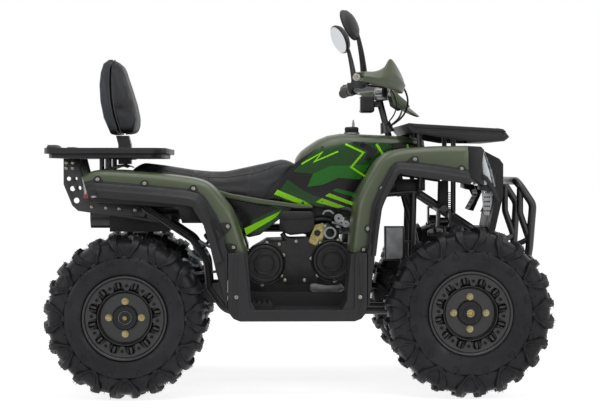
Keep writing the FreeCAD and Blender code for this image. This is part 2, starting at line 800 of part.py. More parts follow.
def cooler_stay():
    """A flat stay from the upright to the oil cooler's front face."""
    start = dim("cooler_x") + dim("cooler_length") + gap
    end = in_frame(upright_shares[0], 0).x
    outer = dim("cooler_inner") + dim("cooler_width") / 2
    middle = dim("cooler_base") + dim("cooler_height") / 2
    return box_between(right(start, outer, middle), right(end, dim("frame_half_width"), middle + dim("tower_plate")))


def frame():
    out = dim("frame_half_width")
    radius = dim("frame_tube_radius")
    side = []
    for shares in (lower_rail_shares, rear_leg_shares, upper_rail_shares, upright_shares):
        side.append(tube([in_frame(share, out) for share in shares], radius, dim("frame_bend")))
    long, tall, thick = dim("pivot_plate_length"), dim("pivot_plate_height"), dim("plate_thickness")
    corner = Vector(dim("pivot_x") - long / 2, -out - thick / 2, dim("pivot_z") - tall / 2)
    side.append(Part.makeBox(long, thick, tall, corner))
    hanger_top = in_frame(upper_rail_shares[2], out).z
    corner = Vector(dim("shock_head_x") - long / 4, -out - thick / 2, dim("shock_head_z") - long / 4)
    side.append(box_between(corner, Vector(corner.x + long / 2, corner.y + thick, hanger_top)))
    side.append(rod(right(*footwell_strut(-1)), right(*footwell_strut(-1, True)), dim("frame_tube_radius") * 0.9))
    side.append(rod(right(*footwell_strut(1)), right(*footwell_strut(1, True)), dim("frame_tube_radius") * 0.9))
    side += shock_tower() + engine_mounts() + [cooler_stay()]
    shapes = side + [other_side(shape) for shape in side]
    for share in cross_shares:
        shapes.append(rod(in_frame(share, out), in_frame(share, -out), cross_tube_share * radius))
    for x_name, z_name in (("pivot_x", "pivot_z"), ("shock_head_x", "shock_head_z")):
        start = right(dim(x_name), out, dim(z_name))
        shapes.append(rod(start, other_side(Part.Vertex(start)).Point, dim("pivot_bolt_radius")))
    upper = on_column(dim("upper_bearing_z"))
    lower = on_column(dim("lower_bearing_z"))
    bearing = dim("column_radius") + dim("running_gap") + dim("bearing_wall")
    half = column_up * (dim("bearing_length") / 2)
    shapes.append(rod(upper - half, upper + half, bearing))
    shapes.append(rod(lower - half, lower + half, bearing))
    shelf_rear = in_frame(upright_shares[0], out).x
    shelf = Vector(shelf_rear, -out, lower.z - dim("shelf_thickness") / 2)
    shapes.append(Part.makeBox(dim("shelf_length"), 2 * out, dim("shelf_thickness"), shelf))
    bore = rod(on_column(dim("frame_base")), column_top, dim("column_radius") + dim("running_gap"))
    keep_shape("frame", fuse(shapes).cut(bore))


carried_sizes = {
    "engine_half_width": 138,
    "engine_rear": -172,
    "engine_length": 348,
    "engine_base": 336,
    "engine_height": 196,
    "cooler_x": 315,
    "cooler_length": 66,
    "cooler_inner": 126,
    "cooler_width": 60,
    "cooler_base": 458,
    "cooler_height": 118,
    "footwell_strut_x": 110,
    "footwell_inner": 250,
    "footwell_width": 230,
    "footwell_rear": -237,
    "footwell_length": 470,
    "footwell_base": 265,
    "footwell_height": 231,
}
add_sizes(carried_sizes)


def footwell_strut(end, outer=False):
    """The place of a short tube from the lower rail to the footwell."""
    out = dim("footwell_inner") - gap if outer else dim("frame_half_width")
    return end * dim("footwell_strut_x"), out, dim("frame_base")


frame()

# Swing arm. Two legs run from the pivot tube back to the carrier that holds the axle's bearings.

swing_arm_sizes = {
    "carrier_half_length": 72,
    "carrier_radius": 40,
    "swing_leg_offset": 58,
    "swing_leg_radius": 17,
    "pivot_tube_radius": 20,
    "pivot_play": 3,
    "shock_foot_x": -485,
    "shock_foot_z": 320,
    "shock_pin_radius": 10,
}
add_sizes(swing_arm_sizes)
rear_x = -0.5 * dim("wheelbase")
rear_z = 0.5 * dim("rear_tyre_diameter")


def swing_arm():
    offset = dim("swing_leg_offset")
    across = dim("frame_half_width") - dim("frame_tube_radius") - dim("pivot_play")
    axle = rod(right(rear_x, dim("carrier_half_length"), rear_z), right(rear_x, -dim("carrier_half_length"), rear_z),
               dim("carrier_radius"))
    pivot = rod(right(dim("pivot_x"), across, dim("pivot_z")), right(dim("pivot_x"), -across, dim("pivot_z")),
                dim("pivot_tube_radius"))
    leg = rod(right(dim("pivot_x"), offset, dim("pivot_z")), right(rear_x, offset, rear_z), dim("swing_leg_radius"))
    foot = rod(right(dim("shock_foot_x"), offset, dim("shock_foot_z")),
               right(dim("shock_foot_x"), -offset, dim("shock_foot_z")), dim("shock_pin_radius"))
    solid = fuse([axle, pivot, leg, other_side(leg), foot])
    play = dim("running_gap")
    axle_bore = rod(right(rear_x, 2 * offset, rear_z), right(rear_x, -2 * offset, rear_z), dim("axle_radius") + play)
    pivot_bore = rod(right(dim("pivot_x"), 2 * offset, dim("pivot_z")),
                     right(dim("pivot_x"), -2 * offset, dim("pivot_z")), dim("pivot_bolt_radius") + gap)
    keep_shape("swing_arm", solid.cut(axle_bore).cut(pivot_bore))


swing_arm()

# Shock absorbers. Each is a damper with an eye at both ends inside a coil spring.

shock_sizes = {
    "damper_radius": 15,
    "spring_radius": 31,
    "spring_wire": 11,
    "spring_turns": 7,
    "front_shock_foot_y": 262,
    "front_shock_foot_x": 570,
}
add_sizes(shock_sizes)


def shock(foot, head, pin, across):
    """A damper and its spring, the spring drawn as a stack of rings on the damper's sleeve."""
    way = (head - foot).normalize()
    length = (head - foot).Length
    eye_half = across * (dim("shock_eye_length") / 2)
    body = rod(foot, head, dim("damper_radius"))
    shapes = [body]
    for end in (foot, head):
        shapes.append(rod(end - eye_half, end + eye_half, dim("shock_eye_radius")))
    start = foot + way * (0.2 * length)
    pitch = 0.62 * length / dim("spring_turns")
    shapes.append(rod(start, start + way * (0.62 * length), dim("spring_radius") - dim("spring_wire")))
    for turn in range(int(dim("spring_turns")) + 1):
        low = start + way * (turn * pitch - dim("spring_wire") / 2)
        shapes.append(rod(low, low + way * dim("spring_wire"), dim("spring_radius")))
    solid = fuse(shapes)
    for end in (foot, head):
        solid = solid.cut(rod(end - eye_half * 2, end + eye_half * 2, pin + gap))
    return solid


rear_foot = Vector(dim("shock_foot_x"), 0, dim("shock_foot_z"))
rear_head = Vector(dim("shock_head_x"), 0, dim("shock_head_z"))
keep_shape("rear_shock", shock(rear_foot, rear_head, dim("shock_pin_radius"), Vector(0, 1, 0)))

# Front suspension. Upper and lower arms of tube run out from the frame to each knuckle's ball joints.

front_arm_sizes = {
    "arm_tube_radius": 10,
    "arm_root_rear": 402,
    "arm_root_length": 238,
    "upper_root_z": 420,
    "lower_root_z": 276,
}
add_sizes(front_arm_sizes)


def suspension_arm(root_z, ball_z, holds_shock=False):
    tip = right(wheel_x, pin_y, ball_z)
    root_y = dim("frame_half_width")
    rear = right(dim("arm_root_rear"), root_y, root_z)
    front = right(dim("arm_root_rear") + dim("arm_root_length"), root_y, root_z)
    inner = tip + Vector(0, dim("ball_radius"), 0)
    shapes = [
        Part.makeSphere(dim("ball_radius"), tip), rod(rear, inner, dim("arm_tube_radius")),
        rod(front, inner, dim("arm_tube_radius")),
    ]
    if holds_shock:
        share = (dim("front_shock_foot_y") - root_y) / (inner.y - rear.y)
        share = abs(share)
        shapes.append(rod(rear + (inner - rear) * share, front + (inner - front) * share, dim("shock_pin_small")))
    return shapes


def front_arms(solid_frame):
    lower = suspension_arm(dim("lower_root_z"), wheel_z - dim("lower_ball_drop"), True)
    upper = suspension_arm(dim("upper_root_z"), wheel_z + dim("upper_ball_rise"))
    lower = largest(fuse(lower).cut(solid_frame))
    upper = largest(fuse(upper).cut(solid_frame))
    keep_shape("front_arms", Part.makeCompound([lower, upper, other_side(lower), other_side(upper)]))


front_arms(shape_of("frame"))
foot_share = (dim("front_shock_foot_y") - dim("frame_half_width")) / (pin_y - dim("ball_radius")
                                                                    - dim("frame_half_width"))
foot_z = dim("lower_root_z") + foot_share * (wheel_z - dim("lower_ball_drop") - dim("lower_root_z"))
front_foot = right(dim("front_shock_foot_x"), dim("front_shock_foot_y"), foot_z)
front_head = right(dim("front_shock_top_x"), dim("front_shock_top_y"), dim("front_shock_top_z"))
keep_shape("front_shocks", with_other_side(shock(front_foot, front_head, dim("shock_pin_small"), Vector(1, 0, 0))))

# Engine. A single cylinder stands on a wide case whose right side carries two round covers.

engine_sizes = {
    "cylinder_half_width": 62,
    "cylinder_x": 40,
    "cylinder_length": 118,
    "cylinder_height": 98,
    "cover_radius": 75,
    "cover_height": 40,
    "front_cover_x": 127,
    "front_cover_z": 455,
    "rear_cover_x": -112,
    "rear_cover_z": 444,
    "cover_boss_radius": 7,
    "cover_boss_height": 5,
    "fin_reach": 9,
    "fin_thickness": 4,
    "drive_x": -208,
    "drive_z": 372,
    "drive_housing_radius": 24,
    "drive_sprocket_radius": 30,
    "chain_width": 10,
    "chain_thickness": 10,
}
add_sizes(engine_sizes)
fin_count = 6
cover_boss_count = 6
case_shares = (
    (0.0, 0.42), (0.06, 0.18), (0.2, 0.0), (0.82, 0.0), (0.97, 0.25), (1.0, 0.6), (0.93, 0.92), (0.8, 1.0),
    (0.2, 0.97), (0.04, 0.8),
)


def engine():
    """The case, a finned cylinder under its head cover, and the housing of the drive sprocket."""
    start, length, base, height = dim("engine_rear"), dim("engine_length"), dim("engine_base"), dim("engine_height")
    half = dim("engine_half_width")
    outline = [right(start + x * length, half, base + z * height) for x, z in case_shares]
    shapes = [plate_of(outline, Vector(0, 2 * half, 0))]
    near, far = dim("cylinder_x"), dim("cylinder_x") + dim("cylinder_length")
    low = base + 0.9 * height
    top = base + height + dim("cylinder_height")
    wide = dim("cylinder_half_width")
    shapes.append(box_between(right(near, wide, low), right(far, -wide, top)))
    reach, thick = dim("fin_reach"), dim("fin_thickness")
    for fin in range(fin_count):
        level = base + height + (fin + 1) * (top - base - height) / (fin_count + 1)
        shapes.append(box_between(right(near - reach, wide + reach, level - thick / 2),
                                  right(far + reach, -wide - reach, level + thick / 2)))
    hub = right(dim("drive_x"), 0, dim("drive_z"))
    end = dim("sprocket_offset")
    shapes.append(rod(hub, hub + Vector(0, end - dim("chain_width") / 2, 0), dim("drive_housing_radius")))
    shapes.append(rod(hub, hub + Vector(0, end + dim("sprocket_thickness"), 0), dim("drive_sprocket_radius")))
    arm = dim("drive_housing_radius") * 0.7
    arm_end = end - dim("chain_width") / 2
    shapes.append(box_between(hub - Vector(0, 0, arm), Vector(start + 0.2 * length, arm_end, hub.z + arm)))
    keep_shape("engine", fuse(shapes))


def engine_covers():
    """Two round covers with a rim, bolt bosses and a stepped dome, joined by a flat bridge."""
    face = dim("engine_half_width") + gap
    out = Vector(0, -1, 0)
    low, high, radius = dim("cover_height") * 0.45, dim("cover_height"), dim("cover_radius")
    shapes = []
    for x_name, z_name in (("front_cover_x", "front_cover_z"), ("rear_cover_x", "rear_cover_z")):
        start = right(dim(x_name), face, dim(z_name))
        shapes.append(Part.makeCylinder(radius, low, start, out))
        shapes.append(Part.makeCone(radius * 0.84, radius * 0.72, high, start, out))
        shapes.append(Part.makeCylinder(radius * 0.34, high + dim("cover_boss_height"), start, out))
        for boss in range(cover_boss_count):
            turn = 2 * math.pi * (boss + 0.5) / cover_boss_count
            place = start + Vector(math.cos(turn), 0, math.sin(turn)) * (0.92 * radius)
            shapes.append(Part.makeCylinder(dim("cover_boss_radius"), low + dim("cover_boss_height"), place, out))
    bridge_low = right(dim("rear_cover_x"), face, dim("rear_cover_z") - radius / 2)
    bridge_high = right(dim("front_cover_x"), face + 0.8 * low, dim("front_cover_z") + radius / 2)
    shapes.append(box_between(bridge_low, bridge_high))
    keep_shape("engine_covers", fuse(shapes))


def hull_of_discs(first, first_radius, second, second_radius, width):
    """A flat plate round two discs with the two straight lines that touch both."""
    way = second - first
    lean = math.asin((first_radius - second_radius) / way.Length)
    heading = math.atan2(way.z, way.x)
    outline = []
    for side in (1, -1):
        turn = heading + side * (math.pi / 2 - lean)
        normal = Vector(math.cos(turn), 0, math.sin(turn))
        touching = [first + normal * first_radius, second + normal * second_radius]
        outline += touching if side > 0 else touching[::-1]
    along = Vector(0, width, 0)
    shapes = [plate_of(outline, along)]
    for centre, radius in ((first, first_radius), (second, second_radius)):
        shapes.append(Part.makeCylinder(radius, width, centre, Vector(0, 1, 0)))
    return fuse(shapes)


def chain():
    """The drive chain lies round both sprockets on the left side, drawn as one plain band."""
    middle = dim("sprocket_offset") + dim("sprocket_thickness") / 2
    start = middle - dim("chain_width") / 2
    rear_centre = Vector(rear_x, start, rear_z)
    drive = Vector(dim("drive_x"), start, dim("drive_z"))
    play, thick, width = dim("running_gap"), dim("chain_thickness"), dim("chain_width")
    rear, front = dim("sprocket_radius") + play, dim("drive_sprocket_radius") + play
    outer = hull_of_discs(rear_centre, rear + thick, drive, front + thick, width)
    inner = hull_of_discs(rear_centre, rear, drive, front, width)
    keep_shape("chain", outer.cut(inner))


engine()
engine_covers()
chain()
doc.recompute()

# Footwells. Each is a deep moulded tray whose ends rise to meet the fenders.

footwell_shares = (
    (0.0, 1.0), (0.04, 0.12), (0.085, 0.0), (0.915, 0.0), (0.96, 0.1), (1.0, 0.98), (0.885, 0.98), (0.855, 0.3),
    (0.82, 0.16), (0.2, 0.16), (0.165, 0.3), (0.14, 1.0),
)
footwell_sizes = {
    "peg_rear": -180,
    "peg_pitch": 19,
    "peg_height": 14,
    "peg_rise": 30,
    "peg_width": 120,
    "footwell_wall": 8,
    "footwell_wall_height": 62,
}
add_sizes(footwell_sizes)
peg_teeth = 5


def footwell(label, left):
    """A floor between two raised ends, with a low wall inside and a toothed foot peg on it."""
    body = new_body(label)
    start = "-(Dims.footwell_inner + Dims.footwell_width)" if left else "Dims.footwell_inner"
    sketch = sketch_on(body, "XZ_Plane", "side_outline", start)
    box = ("footwell_rear", "footwell_length", "footwell_base", "footwell_height")
    draw_outline(sketch, in_box(box, footwell_shares))
    pad(body, sketch, "tray", "Dims.footwell_width")
    wall_start = "-(Dims.footwell_inner + Dims.footwell_wall)" if left else "Dims.footwell_inner"
    wall = sketch_on(body, "XZ_Plane", "wall_outline", wall_start)
    rear = [(1, "footwell_rear"), (0.15, "footwell_length")]
    front = [(1, "footwell_rear"), (0.87, "footwell_length")]
    low = [(1, "footwell_base"), (0.1, "footwell_height")]
    high = low + [(1, "footwell_wall_height")]
    draw_outline(wall, [(rear, low), (front, low), (front, high), (rear, high)])
    pad(body, wall, "inner_wall", "Dims.footwell_wall")
    middle = "Dims.footwell_inner + 0.5 * Dims.footwell_width - 0.5 * Dims.peg_width"
    peg = sketch_on(body, "XZ_Plane", "peg_outline", f"-({middle} + Dims.peg_width)" if left else middle)
    base = [(1, "footwell_base"), (0.1, "footwell_height")]
    root = base + [(1, "peg_rise")]
    corners = [([(1, "peg_rear")], base)]
    for tooth in range(peg_teeth):
        corners.append(([(1, "peg_rear"), (tooth, "peg_pitch")], root))
        corners.append(([(1, "peg_rear"), (tooth + 0.5, "peg_pitch")], root + [(1, "peg_height")]))
    corners.append(([(1, "peg_rear"), (peg_teeth, "peg_pitch")], root))
    corners.append(([(1, "peg_rear"), (peg_teeth, "peg_pitch")], base))
    draw_outline(peg, corners[::-1])
    body.Tip = pad(body, peg, "peg", "Dims.peg_width")


footwell("footwell_right", False)
footwell("footwell_left", True)

# Fenders and flares. Each is one moulded skin that follows the arch over its wheel.

fender_sizes = {
    "fender_inner": 165,
    "fender_foot_inner": 206,
    "fender_outer": 440,
    "flare_outer": 502,
    "fender_roll": 22,
    "rear_fender_rear": -733,
    "rear_fender_length": 561,
    "rear_fender_base": 498,
    "rear_fender_height": 278,
    "front_fender_rear": 178,
    "front_fender_length": 401,
    "front_fender_base": 492,
    "front_fender_height": 367,
}
add_sizes(fender_sizes)


def arch_skin(path, profiles, depths, wall):
    """Loft a thin moulded skin along a path in the XZ plane.

    Each profile holds (distance outwards, share of the local depth, fixed depth) for each point,
    and the depth runs from the path towards the inside of the arch.
    """
    wires = []
    count = len(path)
    for i, point in enumerate(path):
        before = path[max(i - 1, 0)]
        after = path[min(i + 1, count - 1)]
        along = (after - before).normalize()
        inward = Vector(along.z, 0, -along.x)
        outer = [point + Vector(0, -out, 0) + inward * (share * depths[i] + fixed) for out, share, fixed in profiles[i]]
        inner = []
        for j, corner in enumerate(outer):
            low = outer[max(j - 1, 0)]
            high = outer[min(j + 1, len(outer) - 1)]
            run = (high - low).normalize()
            inner.append(corner + along.cross(run) * wall)
        ring = outer + inner[::-1]
        wires.append(Part.makePolygon(ring + [ring[0]]))
    return Part.makeLoft(wires, True, True)


def path_in(box, shares):
    start, length, base, height = (dim(name) for name in box)
    return [Vector(start + x * length, 0, base + z * height) for x, z in shares]


rear_path_shares = (
    (0.0, 0.924), (0.091, 1.0), (0.29, 0.986), (0.5, 0.95), (0.695, 0.892), (0.788, 0.806), (0.87, 0.62),
    (0.927, 0.439), (1.0, 0.0),
)
rear_depths = (26, 42, 46, 46, 44, 48, 55, 60, 62)
front_path_shares = (
    (0.0, 0.0), (0.037, 0.343), (0.075, 0.53), (0.2, 0.79), (0.29, 0.907), (0.416, 0.967), (0.7, 0.995),
    (1.0, 1.0),
)
front_depths = (56, 56, 56, 57, 60, 66, 76, 86)
rear_box = ("rear_fender_rear", "rear_fender_length", "rear_fender_base", "rear_fender_height")
front_box = ("front_fender_rear", "front_fender_length", "front_fender_base", "front_fender_height")


def fender_profiles(foot_shares):
    """The inner edge stands further out where the skin comes down beside the engine."""
    outer, roll = dim("fender_outer"), dim("fender_roll")
    profiles = []
    for share in foot_shares:
        inner = dim("fender_inner") + share * (dim("fender_foot_inner") - dim("fender_inner"))
        profiles.append(((inner, 0, 0), (outer - 2 * roll, 0, 0), (outer - 0.6 * roll, 0, 0.2 * roll),
                         (outer, 0, roll), (outer, 1, 0)))
    return profiles


def flare_profiles(depth, count):
    outer, lip = dim("fender_outer") + gap, dim("flare_outer")
    profile = ((outer, 1, 0), (outer + 0.6 * (lip - outer), 1, 0.1 * depth), (lip, 1, 0.35 * depth), (lip, 1, depth))
    return [profile] * count


def above_footwell(skin):
    """The skin ends on a level line just over the footwell."""
    top = dim("footwell_base") + dim("footwell_height") + gap
    reach = dim("wheelbase")
    return skin.cut(Part.makeBox(2 * reach, 2 * reach, top, Vector(-reach, -reach, 0)))


flare_sizes = {
    "flare_depth": 50,
}
add_sizes(flare_sizes)
rear_path = path_in(rear_box, rear_path_shares)
front_path = path_in(front_box, front_path_shares)
rear_foot_shares = (0, 0, 0, 0, 0, 0.5, 1, 1, 1)
front_foot_shares = (1, 1, 1, 0.6, 0, 0, 0, 0)
rear_skin = arch_skin(rear_path, fender_profiles(rear_foot_shares), rear_depths, dim("wall"))
front_skin = arch_skin(front_path, fender_profiles(front_foot_shares), front_depths, dim("wall"))
keep_shape("rear_fender", with_other_side(above_footwell(rear_skin)))
keep_shape("front_fender", with_other_side(above_footwell(front_skin)))
rear_flare = arch_skin(rear_path, flare_profiles(dim("flare_depth"), len(rear_path)), rear_depths, dim("wall"))
front_flare = arch_skin(front_path, flare_profiles(dim("flare_depth") / 2, len(front_path)), front_depths, dim("wall"))
keep_shape("rear_flares", with_other_side(above_footwell(rear_flare)))
keep_shape("front_flares", with_other_side(above_footwell(front_flare)))

# Seat, tank cover and side panels, each drawn from the side.

cover_sizes = {
    "seat_rear": -590,
    "seat_length": 594,
    "seat_base": 675,
    "seat_height": 139,
    "seat_width": 300,
    "cover_rear": -8,
    "cover_length": 467,
    "cover_base": 726,
    "cover_rise": 182,
    "cover_width": 270,
    "panel_rear": -95,
    "panel_length": 440,
    "panel_base": 631,
    "panel_height": 245,
    "panel_thickness": 26,
}
add_sizes(cover_sizes)
seat_shares = (
    (0.0, 0.76), (0.04, 0.89), (0.37, 0.69), (0.54, 0.67), (0.65, 0.77), (0.8, 0.885), (0.925, 1.0),
    (1.0, 0.8), (0.757, 0.0), (0.53, 0.14), (0.28, 0.28), (0.03, 0.5),
)
tank_shares = (
    (0.06, 0.28), (0.02, 0.52), (0.118, 0.764), (0.266, 0.962), (0.364, 1.0), (0.82, 0.951), (1.0, 0.89),
    (1.0, 0.0), (0.4, 0.0), (0.1, 0.12),
)
side_panel_shares = (
    (0.0, 0.17), (0.28, 0.72), (0.375, 0.895), (0.684, 1.0), (1.0, 0.98), (1.0, 0.89), (0.898, 0.65),
    (0.76, 0.28), (0.705, 0.0), (0.484, 0.03), (0.318, 0.06),
)


def side_block(label, box, shares, width, keep=True):
    """A piece with one outline seen from the side and one width."""
    body = new_body(label) if keep else doc.addObject("PartDesign::Body", label)
    sketch = sketch_on(body, "XZ_Plane", "side_outline")
    draw_outline(sketch, in_box(box, shares))
    block = pad(body, sketch, "block", width, True)
    body.Tip = block
    return body


def side_plates(label, box, shares, inner, thickness):
    """The same outline as a plate on either side of the middle."""
    body = new_body(label)
    sketch = sketch_on(body, "XZ_Plane", "side_outline", inner)
    draw_outline(sketch, in_box(box, shares))
    plate = pad(body, sketch, "plate", thickness)
    return body, plate


side_block("seat", ("seat_rear", "seat_length", "seat_base", "seat_height"), seat_shares, "Dims.seat_width")
tank = side_block("cover_block", ("cover_rear", "cover_length", "cover_base", "cover_rise"), tank_shares,
                  "Dims.cover_width", False)


def tank_cover():
    """The cover has a tunnel through which the steering column passes."""
    tunnel = doc.addObject("Part::Cylinder", "column_tunnel")
    tunnel.setExpression("Radius", "Dims.column_radius + Dims.column_clearance")
    tunnel.setExpression("Height", "Dims.column_top_z - Dims.frame_base")
    tunnel.Placement = FreeCAD.Placement(on_column(dim("frame_base")), Rotation(Vector(0, 0, 1), column_up))
    cover = doc.addObject("Part::Cut", "tank_cover")
    cover.Base = tank
    cover.Tool = tunnel
    cover.Label = "tank_cover"
    pieces.append(cover)


tank_cover()
panels, panel_plate = side_plates("side_panels", ("panel_rear", "panel_length", "panel_base", "panel_height"),
                                  side_panel_shares, "0.5 * Dims.cover_width + Dims.seat_gap",
                                  "Dims.panel_thickness")
mirror_sides(panels, [panel_plate])

# Rear rack on two plate brackets, with the backrest on its post.

rear_rack_sizes = {
    "rear_rack_rear": -871,
    "rear_rack_length": 418,
    "rear_rack_base": 817,
    "rear_rack_thickness": 35,
    "rear_rack_width": 800,
    "rear_rack_corner": 50,
    "rear_rack_step": 15,
    "rear_rack_lip": 46,
    "rear_rack_lip_height": 11,
    "rack_slot_start": 185,
    "rack_slot_pitch": 56,
    "rack_slot_width": 30,
    "bracket_offset": 149,
    "bracket_thickness": 6,
    "bracket_rear": -823,
    "bracket_length": 340,
    "bracket_base": 588,
    "backrest_width": 300,
    "backrest_rear": -700,
    "backrest_length": 140,
    "backrest_base": 900,
    "backrest_height": 273,
    "post_length": 46,
    "post_width": 60,
    "post_front": -593,
    "post_drop": 20,
    "post_flange": 16,
    "post_flange_thickness": 4,
    "spacer_radius": 8,
    "spacer_x": -640,
    "spacer_step": 60,
    "spacer_z": 650,
}
add_sizes(rear_rack_sizes)


def rear_deck():
    """A moulded deck in two steps, with slots on either side and a raised lip along its rear."""
    body = new_body("rear_rack")
    start, end = [(1, "rear_rack_rear")], [(1, "rear_rack_rear"), (1, "rear_rack_length")]
    side, other = [(0.5, "rear_rack_width")], [(-0.5, "rear_rack_width")]
    sketch = sketch_on(body, "XY_Plane", "deck_outline", "Dims.rear_rack_base + Dims.rear_rack_step")
    draw_outline(sketch, [(start, other), (end, other), (end, side), (start, side)])
    deck = pad(body, sketch, "deck", "Dims.rear_rack_thickness - Dims.rear_rack_step")
    upright = Vector(0, 0, 1)
    round_edges(body, deck, "deck_corners", "Dims.rear_rack_corner", lambda edge: runs_along(edge, upright))
    under = sketch_on(body, "XY_Plane", "step_outline", "Dims.rear_rack_base")
    inset = (1, "rear_rack_step")
    low_start, low_end = start + [inset], end + [(-1, "rear_rack_step")]
    low_side, low_other = side + [(-1, "rear_rack_step")], other + [inset]
    draw_outline(under, [(low_start, low_other), (low_end, low_other), (low_end, low_side), (low_start, low_side)])
    pad(body, under, "step", "Dims.rear_rack_step")
    lip = sketch_on(body, "XY_Plane", "lip_outline", "Dims.rear_rack_base + Dims.rear_rack_thickness")
    lip_start, lip_end = start, start + [(1, "rear_rack_lip")]
    lip_side, lip_other = side + [(-2, "rear_rack_corner")], other + [(2, "rear_rack_corner")]
    draw_outline(lip, [(lip_start, lip_other), (lip_end, lip_other), (lip_end, lip_side), (lip_start, lip_side)])
    pad(body, lip, "lip", "Dims.rear_rack_lip_height")
    slots = []
    for number in range(rack_slot_count):
        slot = sketch_on(body, "XY_Plane", f"slot_outline_{number}", "Dims.rear_rack_base + Dims.rear_rack_thickness")
        out = [(-1, "rack_slot_start"), (-number, "rack_slot_pitch")]
        far = out + [(-1, "rack_slot_width")]
        rear, front = start + [(0.18, "rear_rack_length")], start + [(0.85, "rear_rack_length")]
        draw_outline(slot, [(rear, far), (front, far), (front, out), (rear, out)])
        slots.append(pocket(body, slot, f"slot_{number}", "Dims.rear_rack_thickness"))
    mirror_sides(body, slots)
    hole = sketch_on(body, "XY_Plane", "post_outline", "Dims.rear_rack_base + Dims.rear_rack_thickness")
    ahead = [(1, "post_front"), (1, "seat_gap")]
    behind = [(1, "post_front"), (-1, "post_length"), (-1, "seat_gap")]
    beside, opposite = [(0.5, "post_width"), (1, "seat_gap")], [(-0.5, "post_width"), (-1, "seat_gap")]
    draw_outline(hole, [(behind, opposite), (ahead, opposite), (ahead, beside), (behind, beside)])
    pocket(body, hole, "post_hole", "Dims.rear_rack_thickness")


rack_slot_count = 3
rear_deck()

bracket_shares = (
    (0.0, 1.0), (0.165, 1.0), (0.26, 0.44), (0.28, 0.355), (0.782, 0.293), (1.0, 0.0), (0.15, 0.19), (0.09, 0.27),
    (0.0, 0.6),
)


def rack_brackets():
    height = dim("rear_rack_base") - gap - dim("bracket_base")
    corners = []
    for x, z in bracket_shares:
        corners.append(right(dim("bracket_rear") + x * dim("bracket_length"), dim("bracket_offset"),
                             dim("bracket_base") + z * height))
    plate = Part.Face(Part.makePolygon(corners + [corners[0]])).extrude(Vector(0, -dim("bracket_thickness"), 0))
    start = dim("frame_half_width") + dim("frame_tube_radius") + gap
    shapes = [plate]
    for x in (dim("spacer_x"), dim("spacer_x") + dim("spacer_step")):
        shapes.append(rod(right(x, start, dim("spacer_z")), right(x, dim("bracket_offset"), dim("spacer_z")),
                          dim("spacer_radius")))
    keep_shape("rack_brackets", with_other_side(fuse(shapes)))


rack_brackets()

backrest_shares = (
    (0.29, 0.0), (0.11, 0.22), (0.0, 0.663), (0.09, 0.92), (0.25, 1.0), (0.46, 0.99), (0.63, 0.8), (0.89, 0.44),
    (1.0, 0.168), (0.91, 0.01),
)
side_block("backrest_pad", ("backrest_rear", "backrest_length", "backrest_base", "backrest_height"), backrest_shares,
           "Dims.backrest_width")


def backrest_post():
    """A post that stands in a hole of the deck, bears on a flange below it and leans back above it."""
    under = dim("rear_rack_base") - gap
    bend = dim("rear_rack_base") + dim("rear_rack_thickness") + dim("rear_rack_step")
    low, high = under - dim("post_drop"), dim("backrest_base") - gap
    front, length = dim("post_front"), dim("post_length")
    lean = (high - bend) * math.tan(math.radians(dim("column_tilt")))
    half, flange = dim("post_width") / 2, dim("post_flange")
    corners = [
        right(front - length, half, low), right(front, half, low), right(front, half, bend),
        right(front - lean, half, high), right(front - lean - length, half, high), right(front - length, half, bend),
    ]
    post = Part.Face(Part.makePolygon(corners + [corners[0]])).extrude(Vector(0, 2 * half, 0))
    foot = box_between(right(front - length - flange, half + flange, under - dim("post_flange_thickness")),
                       right(front + flange, -half - flange, under))
    keep_shape("backrest_post", fuse([post, foot]))


backrest_post()

# Front rack over the nose, with four short posts down to the frame.

front_rack_sizes = {
    "front_rack_rear": 374,
    "front_rack_length": 361,
    "front_rack_base": 876,
    "front_rack_height": 62,
    "front_rack_width": 700,
    "front_rack_wall": 14,
    "front_rack_corner": 24,
    "front_slot_pitch": 74,
    "front_slot_width": 40,
    "rack_post_offset": 150,
    "rack_post_radius": 9,
    "rack_post_x": 440,
    "rack_post_step": 120,
}
add_sizes(front_rack_sizes)
front_rack_shares = (
    (0.0, 0.92), (0.03, 1.0), (0.817, 0.613), (0.875, 0.72), (0.945, 0.66), (1.0, 0.226), (0.953, 0.0),
    (0.515, 0.03), (0.072, 0.468),
)
front_hollow_shares = ((0.08, 1.0), (0.8, 0.62), (0.8, -0.5), (0.08, -0.5))
front_slot_count = 8


def front_deck():
    """A sloping deck with side skirts, hollow from below and slotted along the vehicle."""
    box = ("front_rack_rear", "front_rack_length", "front_rack_base", "front_rack_height")
    start, length, base, height = (dim(name) for name in box)
    half, wall = dim("front_rack_width") / 2, dim("front_rack_wall")
    outline = [right(start + x * length, half, base + z * height) for x, z in front_rack_shares]
    solid = plate_of(outline, Vector(0, 2 * half, 0))
    solid = solid.makeFillet(dim("front_rack_corner"), [
        edge for edge in solid.Edges if runs_along(edge, Vector(0, 0, 1)) or front_corner(edge, start + length)
    ])
    hollow = [right(start + x * length, half - wall, base + z * height - wall) for x, z in front_hollow_shares]
    solid = solid.cut(plate_of(hollow, Vector(0, 2 * (half - wall), 0)))
    for number in range(front_slot_count):
        out = (number - (front_slot_count - 1) / 2) * dim("front_slot_pitch") + dim("front_slot_width") / 2
        rear, front = start + 0.16 * length, start + 0.74 * length
        over = base + 2 * dim("front_rack_height")
        solid = solid.cut(box_between(right(rear, out, base), right(front, out - dim("front_slot_width"), over)))
    keep_shape("front_rack", solid)


def front_corner(edge, front):
    """True for the sloping edge of a side at the deck's front."""
    low, high = edge.BoundBox.XMin, edge.BoundBox.XMax
    upright = edge.BoundBox.YLength < gap
    return upright and high > front - gap and low < front - gap and edge.BoundBox.ZLength > dim("front_rack_wall")


front_deck()


